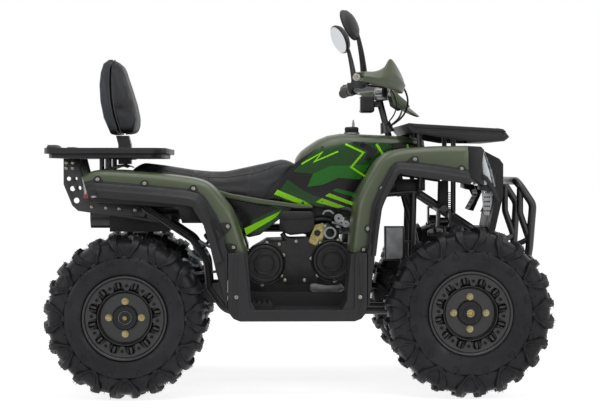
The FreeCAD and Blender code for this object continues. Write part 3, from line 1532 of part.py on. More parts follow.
def rack_posts():
    """Posts on the upper rails carry the front rack, and an outrigger on each holds up the fender."""
    shapes = []
    out, radius = dim("rack_post_offset"), dim("rack_post_radius")
    rack = shape_of("front_rack")
    for x in (dim("rack_post_x"), dim("rack_post_x") + dim("rack_post_step")):
        foot = right(x, dim("frame_half_width"), rail_height(x))
        knee = right(x, out, foot.z + dim("frame_tube_radius"))
        post = tube([foot, knee, right(x, out, dim("front_rack_base") + dim("front_rack_height"))], radius, radius)
        post = largest(post.cut(rack))
        high = front_skin_height(x) - dim("wall") - gap - 0.7 * radius
        arm = rod(right(x, out, high), right(x, dim("fender_outer") * 0.7, high), 0.7 * radius)
        shapes.append(post.fuse(arm))
    return shapes


def rail_height(x):
    """The height of the upper rail's centre line over a place along the vehicle."""
    points = [in_frame(share, 0) for share in upper_rail_shares]
    for rear, front in zip(points, points[1:]):
        if rear.x <= x <= front.x:
            return rear.z + (front.z - rear.z) * (x - rear.x) / (front.x - rear.x)
    return points[0].z


def front_skin_height(x):
    for rear, front in zip(front_path, front_path[1:]):
        if rear.x <= x <= front.x:
            return rear.z + (front.z - rear.z) * (x - rear.x) / (front.x - rear.x)
    return front_path[-1].z


def nose_stays():
    """Flat stays from the frame's front cross tube to the back of the nose panel."""
    front = in_frame(cross_shares[3], 0)
    thick, wide = dim("tower_plate"), dim("tower_width")
    stay = Part.makeBox(dim("nose_length"), wide, thick, right(front.x, dim("frame_half_width") - wide / 2, front.z))
    parts = stay.cut(shape_of("nose_panel")).Solids
    return [min(parts, key=lambda solid: solid.CenterOfMass.x)]


def cover_rests():
    """Blocks on the upper rails under the seat and under the tank cover."""
    size = 2 * dim("frame_tube_radius")
    blocks = []
    seat_low = dim("seat_rear") + seat_shares[8][0] * dim("seat_length")
    for x, top in ((seat_low, dim("seat_base")), (dim("rack_post_x") - 2 * size, dim("cover_base"))):
        low = rail_height(x)
        corner = right(x - size / 2, dim("frame_half_width") + size / 4, low)
        blocks.append(box_between(corner, Vector(corner.x + size, corner.y + size / 2, top - gap)))
    return blocks


def finish_frame():
    """Add the stays that the covers and racks sit on."""
    piece = next(piece for piece in pieces if piece.Label == "frame")
    side = rack_posts() + nose_stays() + cover_rests()
    piece.Shape = fuse([piece.Shape] + side + [other_side(shape) for shape in side])


# Nose. A centre panel, two headlights, two perforated grilles and a tubular bumper.

nose_sizes = {
    "nose_rear": 600,
    "nose_length": 139,
    "nose_base": 545,
    "nose_height": 315,
    "nose_width": 300,
    "lamp_rear": 579.3,
    "lamp_length": 107.7,
    "lamp_base": 716,
    "lamp_height": 144,
    "lamp_inner": 190,
    "lamp_width": 140,
    "grille_rear": 655,
    "grille_length": 50,
    "grille_base": 622,
    "grille_height": 95.6,
    "grille_inner": 158,
    "grille_width": 150,
    "grille_hole": 5.5,
    "lamp_rim": 9,
    "bumper_tube_radius": 14,
    "bumper_bend": 45,
}
add_sizes(nose_sizes)
nose_shares = (
    (0.0, 1.0), (0.5, 0.95), (0.9, 0.86), (1.0, 0.8), (1.0, 0.45), (0.77, 0.0), (0.62, 0.0), (0.8, 0.45),
    (0.8, 0.72), (0.4, 0.84), (0.0, 0.9),
)
lamp_shares = ((0.0, 1.0), (0.53, 0.97), (0.86, 0.4), (1.0, 0.02), (0.7, 0.0), (0.1, 0.3))
lens_shares = ((0.42, 0.9), (0.545, 0.9), (0.86, 0.38), (0.975, 0.08), (0.86, 0.08), (0.72, 0.38))
lens_bed_shares = ((0.39, 0.92), (0.7, 0.92), (1.2, 0.4), (1.2, 0.06), (0.84, 0.06), (0.69, 0.37))
grille_rows = 5
grille_places = 7
grille_shares = ((0.4, 1.0), (0.62, 1.0), (1.0, 0.82), (0.3, 0.0), (0.0, 0.07), (0.62, 0.66))
side_block("nose_panel", ("nose_rear", "nose_length", "nose_base", "nose_height"), nose_shares, "Dims.nose_width")


def side_outline(box, shares, out):
    start, length, base, height = (dim(name) for name in box)
    return [right(start + x * length, out, base + z * height) for x, z in shares]


def headlights():
    """A housing with a sloping front, and a clear lens let into it."""
    inner, wide, rim = dim("lamp_inner"), dim("lamp_width"), dim("lamp_rim")
    box = ("lamp_rear", "lamp_length", "lamp_base", "lamp_height")
    housing = plate_of(side_outline(box, lamp_shares, inner), Vector(0, -wide, 0))
    lens = plate_of(side_outline(box, lens_shares, inner + rim), Vector(0, 2 * rim - wide, 0))
    bed = plate_of(side_outline(box, lens_bed_shares, inner + rim - gap), Vector(0, 2 * (rim - gap) - wide, 0))
    keep_shape("headlights", Part.makeCompound([with_other_side(housing.cut(bed)), with_other_side(lens)]))


def grilles():
    """A sloping plate below each headlight, pierced by rows of round holes."""
    inner, wide = dim("grille_inner"), dim("grille_width")
    box = ("grille_rear", "grille_length", "grille_base", "grille_height")
    plate = plate_of(side_outline(box, grille_shares, inner), Vector(0, -wide, 0))
    base, height = dim("grille_base"), dim("grille_height")
    rear, length = dim("grille_rear"), dim("grille_length")
    holes = []
    for row in range(grille_rows):
        for place in range(grille_places - row % 2):
            out = inner + (place + 1 + 0.5 * (row % 2)) * wide / (grille_places + 1)
            high = base + (row + 1.2) * height / (grille_rows + 1.6)
            holes.append(rod(right(rear - length, out, high), right(rear + 2 * length, out, high), dim("grille_hole")))
    keep_shape("grilles", with_other_side(plate.cut(Part.makeCompound(holes))))


headlights()
grilles()

bumper_sizes = {
    "bumper_rear": 660,
    "bumper_length": 177,
    "bumper_base": 300,
    "bumper_height": 437,
    "bumper_half_width": 200,
}
add_sizes(bumper_sizes)
bumper_shares = (
    (-0.2, 0.55, 0.07), (0.56, 0.62, 0.1), (0.9, 0.75, 0.27), (0.94, 0.95, 0.46), (1.0, 1.0, 0.81), (0.69, 0.97, 1.0),
)
bumper_brace_shares = ((0.93, 0.95, 0.53), (0.75, 0.95, 0.74), (0.75, 0.95, 0.94))


def in_bumper(share):
    return right(dim("bumper_rear") + share[0] * dim("bumper_length"), share[1] * dim("bumper_half_width"),
                 dim("bumper_base") + share[2] * dim("bumper_height"))


def bumper():
    radius = dim("bumper_tube_radius")
    near = [in_bumper(share) for share in bumper_shares]
    far = [Vector(point.x, -point.y, point.z) for point in near]
    hoop = tube(near + far[::-1], radius, dim("bumper_bend"))
    brace = tube([in_bumper(share) for share in bumper_brace_shares], radius * 0.85, dim("bumper_bend"))
    stay = rod(in_bumper((0.0, 0.55, 0.33)), in_bumper((0.93, 0.95, 0.53)), radius * 0.7)
    welded = fuse([hoop, brace, other_side(brace), stay, other_side(stay)])
    keep_shape("bumper", largest(welded.cut(shape_of("frame"))))


bumper()
doc.recompute()
finish_frame()

# Handlebar with its grips, hand guards, mirrors, meter and front shield.

handlebar_sizes = {
    "bar_radius": 11,
    "bar_bend": 50,
    "grip_radius": 17,
    "grip_length": 116,
    "bar_end_x": 198,
    "bar_end_y": 440,
    "bar_end_z": 1072,
    "bar_reach": 124,
    "clamp_size": 44,
    "switch_length": 42,
    "switch_radius": 19,
    "lever_radius": 5,
    "lever_reach": 58,
    "guard_height": 56,
    "guard_reach": 172,
    "guard_thickness": 5,
    "mirror_radius": 57,
    "mirror_thickness": 34,
    "mirror_x": 163,
    "mirror_y": 335,
    "mirror_z": 1273,
    "mirror_stem_radius": 5,
    "meter_length": 52,
    "meter_width": 110,
    "meter_height": 64,
    "meter_x": 233,
    "meter_z": 982,
    "shield_length": 118,
    "shield_width": 220,
    "shield_drop": 94,
    "shield_stay_z": 1000,
    "shield_x": 338,
    "shield_z": 1068,
    "hose_radius": 3.5,
    "cable_radius": 2.5,
}
add_sizes(handlebar_sizes)
bar_shares = ((0.0, 1.0, 1.0), (0.22, 0.7, 1.25), (0.97, 0.26, 1.25), (1.0, 0.12, 0.0))


def on_bar(share):
    """A point of the bar: along its reach, along its half width, and up from the clamp to its ends."""
    clamp = column_top.z
    return right(dim("bar_end_x") + share[0] * dim("bar_reach"), share[1] * dim("bar_end_y"),
                 clamp + share[2] * (dim("bar_end_z") - clamp))


def handlebar():
    near = [on_bar(share) for share in bar_shares]
    far = [Vector(point.x, -point.y, point.z) for point in near]
    bar = tube(near + far[::-1], dim("bar_radius"), dim("bar_bend"))
    size = dim("clamp_size")
    clamp = Part.makeBox(size, 1.6 * size, size, Vector(near[-1].x - size * 0.75, -0.8 * size, column_top.z - size / 2))
    column = shape_of("steering_column")
    way = (near[1] - near[0]).normalize()
    shapes = [bar, clamp]
    housing_end = near[0] + way * (dim("grip_length") + 2 * gap)
    housing = rod(housing_end, housing_end + way * dim("switch_length"), dim("switch_radius"))
    pivot = housing_end + way * (dim("switch_length") / 2) + Vector(dim("switch_radius") + dim("lever_radius"), 0, 0)
    tip = near[0] + Vector(dim("lever_reach"), 0, 0)
    root = housing_end + way * (dim("switch_length") / 2)
    lever = tube([root, pivot, tip], dim("lever_radius"), dim("lever_radius"))
    for piece in (housing, lever):
        shapes += [piece, other_side(piece)]
    tank = Vector(root.x, root.y, root.z + dim("switch_radius"))
    half = dim("switch_length") / 2
    shapes.append(box_between(tank - Vector(half, half / 2, half), tank + Vector(half, half / 2, half / 2)))
    keep_shape("handlebar", fuse(shapes).cut(column))
    outer = near[0] - way * (dim("grip_radius") / 2)
    grip = rod(outer, near[0] + way * dim("grip_length"), dim("grip_radius"))
    hollow = rod(near[0], near[0] + way * (2 * dim("grip_length")), dim("bar_radius") + gap)
    keep_shape("grips", with_other_side(grip.cut(hollow)))


handlebar()
guard_shares = (
    (0.0, 1.03, -0.1, 0.8), (0.3, 1.02, 0.0, 1.2), (0.7, 0.95, 0.1, 1.5), (0.95, 0.82, 0.15, 1.7),
    (1.0, 0.66, 0.1, 1.4), (0.9, 0.5, 0.0, 0.9),
)


def hand_guards():
    """A bent plate in front of each grip; shares give reach, distance out, base and height."""
    wires = []
    thick = dim("guard_thickness")
    points = []
    for reach, out, base, height in guard_shares:
        low = right(dim("bar_end_x") + reach * dim("guard_reach"), out * dim("bar_end_y"),
                    dim("bar_end_z") - (0.6 - base) * dim("guard_height"))
        points.append((low, low + Vector(0, 0, height * dim("guard_height"))))
    for i, (low, high) in enumerate(points):
        before = points[max(i - 1, 0)][0]
        after = points[min(i + 1, len(points) - 1)][0]
        run = after - before
        aside = Vector(run.y, -run.x, 0).normalize() * thick
        wires.append(Part.makePolygon([low, high, high + aside, low + aside, low]))
    keep_shape("hand_guards", with_other_side(Part.makeLoft(wires, True, True)))


hand_guards()


mirror_width_share = 1.3


def mirrors():
    """An oval shell on a bent stem stands over each side of the bar."""
    head = right(dim("mirror_x"), dim("mirror_y"), dim("mirror_z"))
    lean = Vector(math.cos(tilt), 0, math.sin(tilt))
    shell = Part.makeCone(dim("mirror_radius"), dim("mirror_radius") * 0.7, dim("mirror_thickness"), head, lean)
    widen = FreeCAD.Matrix()
    widen.scale(Vector(1, mirror_width_share, 1))
    shell = shell.translated(Vector(0, -head.y, 0)).transformGeometry(widen).translated(Vector(0, head.y, 0))
    foot = on_bar((0.25, 0.66, 1.25)) + Vector(0, 0, dim("bar_radius") / 2)
    knee = head + lean * (dim("mirror_thickness") + dim("mirror_stem_radius")) - Vector(0, 0, dim("mirror_radius") / 2)
    stem = tube([foot, knee, head + lean * (dim("mirror_thickness") / 2)], dim("mirror_stem_radius"),
                dim("mirror_stem_radius") * 2)
    keep_shape("mirrors", with_other_side(fuse([shell, stem]).cut(shape_of("handlebar"))))


mirrors()


def meter():
    box = Part.makeBox(dim("meter_length"), dim("meter_width"), dim("meter_height"),
                       Vector(dim("meter_x"), -dim("meter_width") / 2, dim("meter_z")))
    column = shape_of("steering_column")
    foot = Vector(dim("meter_x") + dim("meter_length") / 2, 0, dim("meter_z") + dim("meter_height") / 2)
    arm = rod(foot, on_column(foot.z), dim("bar_radius"))
    keep_shape("meter", fuse([box, arm]).cut(column))


meter()


hose_route = (
    (247, 305.4, 1098), (272, 302, 1103), (301, 284, 1105), (325, 255, 1104), (346, 222, 1099), (371, 190, 1079),
    (393, 158, 1049), (402, 122, 1013), (393, 88, 979), (372, 58, 952), (340, 14, 932),
)
throttle_route = (
    (243, 284, 1087), (266, 259, 1094), (297, 229, 1090), (330, 196, 1068), (353, 160, 1035), (361, 122, 1001),
    (353, 85, 971), (338, 50, 951), (333, 12, 938),
)


def cable(label, route, radius, left=False):
    """A cable along straight runs with arcs as large as they allow, from its housing into the column's boot."""
    points = [right(*point) for point in route]
    points[0] = points[0] + (points[1] - points[0]).normalize() * gap
    edges = []
    start = points[0]
    for before, corner, after in zip(points, points[1:], points[2:]):
        into, out = before - corner, after - corner
        shorter = min(into.Length, out.Length)
        half = into.getAngle(out) / 2
        bend = 0.45 * shorter * math.tan(half)
        first, last = corner + into.normalize() * (0.45 * shorter), corner + out.normalize() * (0.45 * shorter)
        middle = corner + (into + out).normalize() * (bend / math.sin(half) - bend)
        print(label, "bend", round(bend))
        edges += [Part.LineSegment(start, first).toShape(), Part.Arc(first, middle, last).toShape()]
        start = last
    edges.append(Part.LineSegment(start, points[-1]).toShape())
    section = Part.Wire([Part.Circle(points[0], points[1] - points[0], radius).toShape()])
    solid = Part.Wire(edges).makePipeShell([section], True, True)
    print(label, "length", round(sum(edge.Length for edge in edges)), "volume share",
          round(solid.Volume / (math.pi * radius ** 2 * sum(edge.Length for edge in edges)), 3))
    solid = largest(solid.cut(boot(gap)).cut(shape_of("handlebar")))
    keep_shape(label, other_side(solid) if left else solid)


cable("brake_hose_right", hose_route, dim("hose_radius"))
cable("brake_hose_left", hose_route, dim("hose_radius"), left=True)
cable("throttle_cable", throttle_route, dim("cable_radius"))


def front_shield():
    start, top = dim("shield_x"), dim("shield_z")
    half, thick = dim("shield_width") / 2, dim("wall")
    corners = [
        Vector(start, -half, top), Vector(start + dim("shield_length"), -half, top - dim("shield_drop")),
        Vector(start + dim("shield_length"), -half, top - dim("shield_drop") - thick),
        Vector(start, -half, top - thick),
    ]
    plate = Part.Face(Part.makePolygon(corners + [corners[0]])).extrude(Vector(0, 2 * half, 0))
    high = dim("shield_stay_z")
    end = start + dim("shield_length") * (top - high - thick) / dim("shield_drop")
    stay = rod(on_column(high), Vector(end, 0, high), dim("bar_radius") * 0.6)
    column = shape_of("steering_column")
    keep_shape("front_shield", fuse([plate, stay]).cut(column))


front_shield()

# Small chassis pieces: intake, silencer, oil cooler, tool box, tail lights and filler cap.

small_piece_sizes = {
    "airbox_x": -60,
    "airbox_length": 126,
    "airbox_inner": 95,
    "airbox_width": 85,
    "airbox_base": 543,
    "airbox_height": 88,
    "carburettor_radius": 24,
    "carburettor_z": 590,
    "carburettor_y": 118,
    "silencer_radius": 48,
    "silencer_rear": -760,
    "silencer_length": 330,
    "silencer_y": 222,
    "silencer_z": 606,
    "pipe_radius": 16,
    "pipe_y": 172,
    "pipe_z": 560,
    "tool_box_rear": -665,
    "tool_box_length": 212,
    "tool_box_width": 193.4,
    "tool_box_base": 555,
    "tool_box_height": 61,
    "tail_light_length": 16,
    "tail_light_width": 58,
    "tail_light_base": 680,
    "tail_light_height": 90,
    "filler_cap_radius": 27,
    "filler_cap_height": 52,
    "filler_cap_x": 206,
}
add_sizes(small_piece_sizes)


def intake():
    box = Part.makeBox(dim("airbox_length"), dim("airbox_width"), dim("airbox_height"),
                       right(dim("airbox_x"), dim("airbox_inner") + dim("airbox_width"), dim("airbox_base")))
    end = dim("airbox_x") + dim("airbox_length")
    out, high = dim("carburettor_y"), dim("carburettor_z")
    throat = rod(right(end, out, high), right(end + 0.7 * dim("airbox_length"), out, high), dim("carburettor_radius"))
    stub_end = dim("cylinder_half_width") + dim("fin_reach") + gap
    stub_x = dim("cylinder_x") + 0.6 * dim("cylinder_length")
    stub = rod(right(stub_x, out, high), right(stub_x, stub_end, high), dim("carburettor_radius") * 0.8)
    keep_shape("intake", fuse([box, throat, stub]))


intake()


def exhaust():
    rear, out, high = dim("silencer_rear"), -dim("silencer_y"), dim("silencer_z")
    can = rod(right(rear, out, high), right(rear + dim("silencer_length"), out, high), dim("silencer_radius"))
    front = dim("cylinder_x") + dim("cylinder_length") + dim("fin_reach")
    side, low = -dim("pipe_y"), dim("pipe_z")
    path = [
        right(front + gap, 0, low), right(front + 3 * dim("silencer_radius") / 2, 0, low),
        right(front + 2 * dim("silencer_radius"), side, low), right(rear + dim("silencer_length") * 1.5, side, low),
        right(rear + dim("silencer_length") * 1.2, out, high), right(rear + dim("silencer_length") / 2, out, high),
    ]
    keep_shape("exhaust", fuse([can, tube(path, dim("pipe_radius"), 1.6 * dim("pipe_radius"))]))


exhaust()


def boxed(label, x, y, z, length, width, height):
    keep_shape(label, Part.makeBox(length, width, height, Vector(x, y, z)))


boxed("oil_cooler", dim("cooler_x"), -dim("cooler_inner") - dim("cooler_width"), dim("cooler_base"),
      dim("cooler_length"), dim("cooler_width"), dim("cooler_height"))
boxed("tool_box", dim("tool_box_rear"), -dim("tool_box_width") / 2, dim("tool_box_base"), dim("tool_box_length"),
      dim("tool_box_width"), dim("tool_box_height"))


def tail_lights():
    """Each light hangs from the underside of the rear fender, close to its end."""
    rear = dim("rear_fender_rear") + dim("wall")
    out = dim("fender_outer") - dim("wall") - dim("fender_roll")
    low = right(rear, out, dim("tail_light_base"))
    high = right(rear + dim("tail_light_length"), out - dim("tail_light_width"), dim("tail_light_base")
                 + dim("tail_light_height"))
    skin = shape_of("rear_fender").translated(Vector(0, 0, -gap))
    below = box_between(low, high).cut(skin)
    keep_shape("tail_lights", with_other_side(min(below.Solids, key=lambda solid: solid.BoundBox.ZMin)))


def filler_cap():
    """A ribbed cap on a short neck stands on the tank cover in front of the seat."""
    foot = Vector(dim("filler_cap_x"), 0, dim("cover_base") + 0.989 * dim("cover_rise") + gap)
    neck = Part.makeCylinder(0.8 * dim("filler_cap_radius"), dim("filler_cap_height") / 2, foot)
    rise = foot + Vector(0, 0, dim("filler_cap_height") / 2)
    shapes = [neck, Part.makeCylinder(dim("filler_cap_radius"), dim("filler_cap_height") / 2, rise)]
    for rib in range(cap_rib_count):
        turn = 2 * math.pi * rib / cap_rib_count
        place = rise + Vector(math.cos(turn), math.sin(turn), 0) * dim("filler_cap_radius")
        shapes.append(Part.makeCylinder(dim("filler_cap_radius") / cap_rib_count, dim("filler_cap_height") / 2, place))
    cover = shape_of("tank_cover").translated(Vector(0, 0, gap))
    keep_shape("filler_cap", largest(fuse(shapes).cut(cover)))


cap_rib_count = 12
tail_lights()
filler_cap()

doc.recompute()
for piece in pieces:
    if "Invalid" in piece.State or "Error" in piece.State or piece.Shape.isNull() or not piece.Shape.isValid():
        raise RuntimeError(f"{piece.Label} failed: {piece.State}")
    piece.Shape.exportStep(f"parts/{piece.Label}.step")
    print(piece.Label, len(piece.Shape.Solids), round(piece.Shape.Volume / 1000), piece.Shape.BoundBox)
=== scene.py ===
"""A small utility quad bike: olive covers, black guards, lugged tyres and an open engine, in metres."""
import math

import bmesh
import bpy
from mathutils import Matrix, Vector
from mathutils.bvhtree import BVHTree
from mathutils.geometry import delaunay_2d_cdt


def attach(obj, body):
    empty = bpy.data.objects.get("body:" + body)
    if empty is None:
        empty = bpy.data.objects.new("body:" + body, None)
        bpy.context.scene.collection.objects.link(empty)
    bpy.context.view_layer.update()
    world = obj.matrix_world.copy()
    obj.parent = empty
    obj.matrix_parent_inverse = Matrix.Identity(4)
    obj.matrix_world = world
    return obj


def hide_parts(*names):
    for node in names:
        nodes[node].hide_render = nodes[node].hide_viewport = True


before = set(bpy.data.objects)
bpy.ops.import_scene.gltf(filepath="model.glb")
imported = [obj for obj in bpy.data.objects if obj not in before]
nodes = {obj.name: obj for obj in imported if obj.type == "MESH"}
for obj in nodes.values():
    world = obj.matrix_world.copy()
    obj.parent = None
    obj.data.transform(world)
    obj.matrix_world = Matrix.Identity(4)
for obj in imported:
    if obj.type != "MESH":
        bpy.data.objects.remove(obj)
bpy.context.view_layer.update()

# Studio. A matt white floor under soft overhead boxes, seen from the right side at seat height,
# through a long lens.


def linear(colour):
    """An sRGB hex colour as linear RGBA."""
    channels = [int(colour[place:place + 2], 16) / 255 for place in (1, 3, 5)]
    return tuple(c / 12.92 if c <= 0.04045 else ((c + 0.055) / 1.055) ** 2.4 for c in channels) + (1.0,)


def put(tree, kind, settings=None, links=None, **attributes):
    """A node with its own attributes, the values of its sockets and the nodes or sockets that feed it."""
    node = tree.nodes.new(kind)
    for name, value in attributes.items():
        setattr(node, name, value)
    for socket, value in (settings or {}).items():
        node.inputs[socket].default_value = value
    for socket, source in (links or {}).items():
        tree.links.new(getattr(source, "outputs", [source])[0], node.inputs[socket])
    return node


def new_object(name, data):
    thing = bpy.data.objects.new(name, data)
    bpy.context.collection.objects.link(thing)
    return thing


def empty_tree(owner):
    owner.use_nodes = True
    owner.node_tree.nodes.clear()
    return owner.node_tree


def seen_by_eye(tree):
    """1 for rays from the camera and those that it sees by reflection or through glass, else 0."""
    rays = put(tree, "ShaderNodeLightPath").outputs
    mirrored_too = put(tree, "ShaderNodeMath", {}, {0: rays["Is Camera Ray"], 1: rays["Is Glossy Ray"]},
                       operation="MAXIMUM")
    return put(tree, "ShaderNodeMath", {}, {0: mirrored_too, 1: rays["Is Transmission Ray"]}, operation="MAXIMUM")


camera = new_object("camera", bpy.data.cameras.new("camera"))
camera.location = (-0.1418, -6.45, 0.783)
camera.rotation_euler = (math.radians(88.74), 0, math.radians(-1.42))
camera.data.lens, camera.data.sensor_width = 106.4, 36
bpy.context.scene.camera = camera
bpy.context.scene.view_settings.view_transform = "Standard"

floor_reach = 60
floor_mesh = bpy.data.meshes.new("floor")
floor_mesh.from_pydata([(floor_reach * x, floor_reach * y, 0) for x, y in ((-1, -1), (1, -1), (1, 1), (-1, 1))], [],
                       [(0, 1, 2, 3)])
floor = new_object("floor", floor_mesh)
floor_paint = bpy.data.materials.new("studio_floor")
tree = empty_tree(floor_paint)
matt = put(tree, "ShaderNodeBsdfDiffuse", {"Color": linear("#e9e9e9")})
glow_strength = put(tree, "ShaderNodeMath", {1: 0.84}, {0: seen_by_eye(tree)}, operation="MULTIPLY")
glow = put(tree, "ShaderNodeEmission", {"Color": (1, 1, 1, 1)}, {"Strength": glow_strength})
both = put(tree, "ShaderNodeAddShader", {}, {0: matt, 1: glow})
put(tree, "ShaderNodeOutputMaterial", {}, {"Surface": both})
floor_mesh.materials.append(floor_paint)

world = bpy.data.worlds.new("studio_light")
bpy.context.scene.world = world
tree = empty_tree(world)
strength = put(tree, "ShaderNodeMapRange", {"To Min": 0.24, "To Max": 1.0}, {"Value": seen_by_eye(tree)})
sky = put(tree, "ShaderNodeBackground", {"Color": (1, 1, 1, 1)}, {"Strength": strength})
put(tree, "ShaderNodeOutputWorld", {}, {"Surface": sky})

for name, power, size, place, aim in (
    ("overhead_box", 44, 2.6, (0.2, -1.0, 3.2), (0, 0, 0.4)),
    ("front_box", 20, 1.4, (2.6, -3.2, 1.9), (0.3, 0, 0.5)),
    ("rear_box", 15, 1.4, (-2.8, -2.6, 1.6), (-0.4, 0, 0.5)),
):
    lamp = new_object(name, bpy.data.lights.new(name, "AREA"))
    lamp.data.energy, lamp.data.size = power, size
    lamp.location = place
    lamp.rotation_euler = (Vector(aim) - Vector(place)).to_track_quat("-Z", "Y").to_euler()

# Tyres. Knobbly rubber moulded in a press: a smooth bulging wall, V-shaped lugs over each shoulder,
# small marks between them and thin vent hairs left by the mould.

MM = 0.001


def relief(tree, height, deep, strength):
    """A bump of a real depth in metres."""
    bump = put(tree, "ShaderNodeBump", {"Strength": strength, "Distance": deep}, {"Height": height})
    tree.links.new(bump.outputs[0], tree.nodes["Principled BSDF"].inputs["Normal"])


def cloud(tree, scale, detail):
    """Soft noise in the object's own coordinates."""
    place = tree.nodes["Texture Coordinate"].outputs["Object"]
    return put(tree, "ShaderNodeTexNoise", {"Scale": scale, "Detail": detail}, {"Vector": place})


def finish(slot, name, colour, roughness, metallic=0.0, shades=None, sheen=None, grain=None, **sockets):
    """A material with patches of two shades (scale, first, second), a roughness that wanders
    (scale, low, high) and a fine relief (scale, detail, metres, strength). The slot is not used."""
    material = bpy.data.materials.new(name)
    material.use_nodes = True
    tree = material.node_tree
    shader = tree.nodes["Principled BSDF"].inputs
    put(tree, "ShaderNodeTexCoord")
    sockets.update(Base_Color=linear(colour), Roughness=roughness, Metallic=metallic)
    for socket, value in sockets.items():
        shader[socket.replace("_", " ")].default_value = value
    if shades:
        scale, first, second = shades
        share = put(tree, "ShaderNodeMapRange", {"From Min": 0.35, "From Max": 0.65},
                    {"Value": cloud(tree, scale, 5)})
        blend = put(tree, "ShaderNodeMix", {6: linear(first), 7: linear(second)}, {0: share}, data_type="RGBA")
        tree.links.new(blend.outputs[2], shader["Base Color"])
    if sheen:
        scale, low, high = sheen
        share = put(tree, "ShaderNodeMapRange", {"From Min": 0.3, "From Max": 0.7, "To Min": low, "To Max": high},
                    {"Value": cloud(tree, scale, 3)})
        tree.links.new(share.outputs[0], shader["Roughness"])
    if grain:
        scale, detail, deep, strength = grain
        relief(tree, cloud(tree, scale, detail), deep, strength)
    return material


# Vulcanised rubber: nearly black, dull, with a dusty bloom and the mould's fine pitting.
tyre_rubber = finish("tyre_rubber", "vulcanised_rubber", "#19191c", 0.5, shades=(9, "#111114", "#26262a"),
                     sheen=(20, 0.34, 0.6), grain=(420, 2, 0.0004, 0.6), Specular_IOR_Level=0.25)


def joined(shapes):
    """One list of points and faces from several."""
    points, faces = [], []
    for more_points, more_faces in shapes:
        start = len(points)
        points += [Vector(point) for point in more_points]
        faces += [tuple(start + index for index in face) for face in more_faces]
    return points, faces


def tidy_faces(piece):
    """Merge doubles and turn the faces outwards."""
    work = bmesh.new()
    work.from_mesh(piece.data)
    bmesh.ops.remove_doubles(work, verts=work.verts, dist=0.02 * MM)
    bmesh.ops.recalc_face_normals(work, faces=work.faces)
    work.to_mesh(piece.data)
    work.free()


def make_piece(name, shapes, material, centre=(0, 0, 0)):
    """An object from shapes in millimetres about a centre."""
    points, faces = joined(shapes)
    mesh = bpy.data.meshes.new(name)
    mesh.from_pydata([point * MM for point in points], [], faces)
    mesh.materials.append(material)
    piece = new_object(name, mesh)
    tidy_faces(piece)
    for vertex in piece.data.vertices:
        vertex.co += Vector(centre) * MM
    return piece


def settle(piece):
    """Turn what the modifiers make into the piece's plain mesh."""
    bpy.context.view_layer.update()
    graph = bpy.context.evaluated_depsgraph_get()
    mesh = bpy.data.meshes.new_from_object(piece.evaluated_get(graph))
    piece.modifiers.clear()
    piece.data = mesh
    return piece


def bevel(piece, wide, steps, angle):
    """Round the edges that are sharper than the angle."""
    edge = piece.modifiers.new("edge", "BEVEL")
    edge.width, edge.segments, edge.angle_limit = wide * MM, steps, math.radians(angle)


def soften(piece, angle):
    """Smooth shading that keeps edges sharper than the angle."""
    piece.data.shade_smooth()
    piece.data.set_sharp_from_angle(angle=math.radians(angle))


def wall(piece, thickness, offset=-1):
    """Give a skin its thickness."""
    solid = piece.modifiers.new("wall", "SOLIDIFY")
    solid.thickness, solid.offset = thickness * MM, offset


def place_on(piece, *replaced, body="chassis", slot=None, sharp=35):
    """Settle the modifiers, shade smooth up to an angle, and put the piece on its body, for CAD nodes."""
    if piece.modifiers:
        settle(piece)
    if sharp:
        soften(piece, sharp)
    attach(piece, body)
    if replaced:
        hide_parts(*replaced)
    return piece


def build(name, shapes, material, *replaced, edge=None, centre=(0, 0, 0), **place):
    """A piece from shapes, with its edges rounded by (millimetres, steps, degrees), in its place."""
    piece = make_piece(name, shapes, material, centre)
    if edge:
        bevel(piece, *edge)
    return place_on(piece, *replaced, **place)


def flowing(points, steps):
    """More points on a smooth curve through the given ones."""
    points = [Vector(point) for point in points]
    ends = [2 * points[0] - points[1]] + points + [2 * points[-1] - points[-2]]
    result = []
    for a, b, c, d in zip(ends, ends[1:], ends[2:], ends[3:]):
        for step in range(steps):
            t = step / steps
            result.append(0.5 * (2 * b + (c - a) * t + (2 * a - 5 * b + 4 * c - d) * t * t
                                 + (3 * b - a - 3 * c + d) * t * t * t))
    return result + [points[-1]]


def around(items, number):
    """What stands before and after an item, or the item itself at an end."""
    return items[max(number - 1, 0)], items[min(number + 1, len(items) - 1)]


def loft(rings, closed=True, capped=True):
    """Points and faces of a skin through rings that have as many points each."""
    count = len(rings[0])
    faces = []
    for row in range(0, (len(rings) - 1) * count, count):
        for place in range(count if closed else count - 1):
            after = (place + 1) % count
            faces.append((row + place, row + after, row + count + after, row + count + place))
    if capped:
        faces.append(tuple(range(count))[::-1])
        faces.append(tuple((len(rings) - 1) * count + place for place in range(count)))
    return [point for ring in rings for point in ring], faces


def circle(steps):
    """Even angles round a circle."""
    return [2 * math.pi * step / steps for step in range(steps)]


def sheet(rings):
    """A skin through open lines."""
    return loft(rings, closed=False, capped=False)


def turned(section, steps, way, closed=True):
    """A section of (radius, height) turned full circle; way maps (across, up, height) to a point."""
    rings = [[Vector(way(radius * math.cos(turn), radius * math.sin(turn), height)) for radius, height in section]
             for turn in circle(steps)]
    return loft(rings + [rings[0]], closed, False)


def about_axle(across, up, out):
    return up, out, across


def start_tree(name, **inputs):
    """A geometry node group and the sockets of its named inputs."""
    tree = bpy.data.node_groups.new(name, "GeometryNodeTree")
    for label, kind in inputs.items():
        tree.interface.new_socket(label, in_out="INPUT", socket_type="NodeSocket" + kind)
    tree.interface.new_socket("Result", in_out="OUTPUT", socket_type="NodeSocketGeometry")
    return tree, put(tree, "NodeGroupInput").outputs


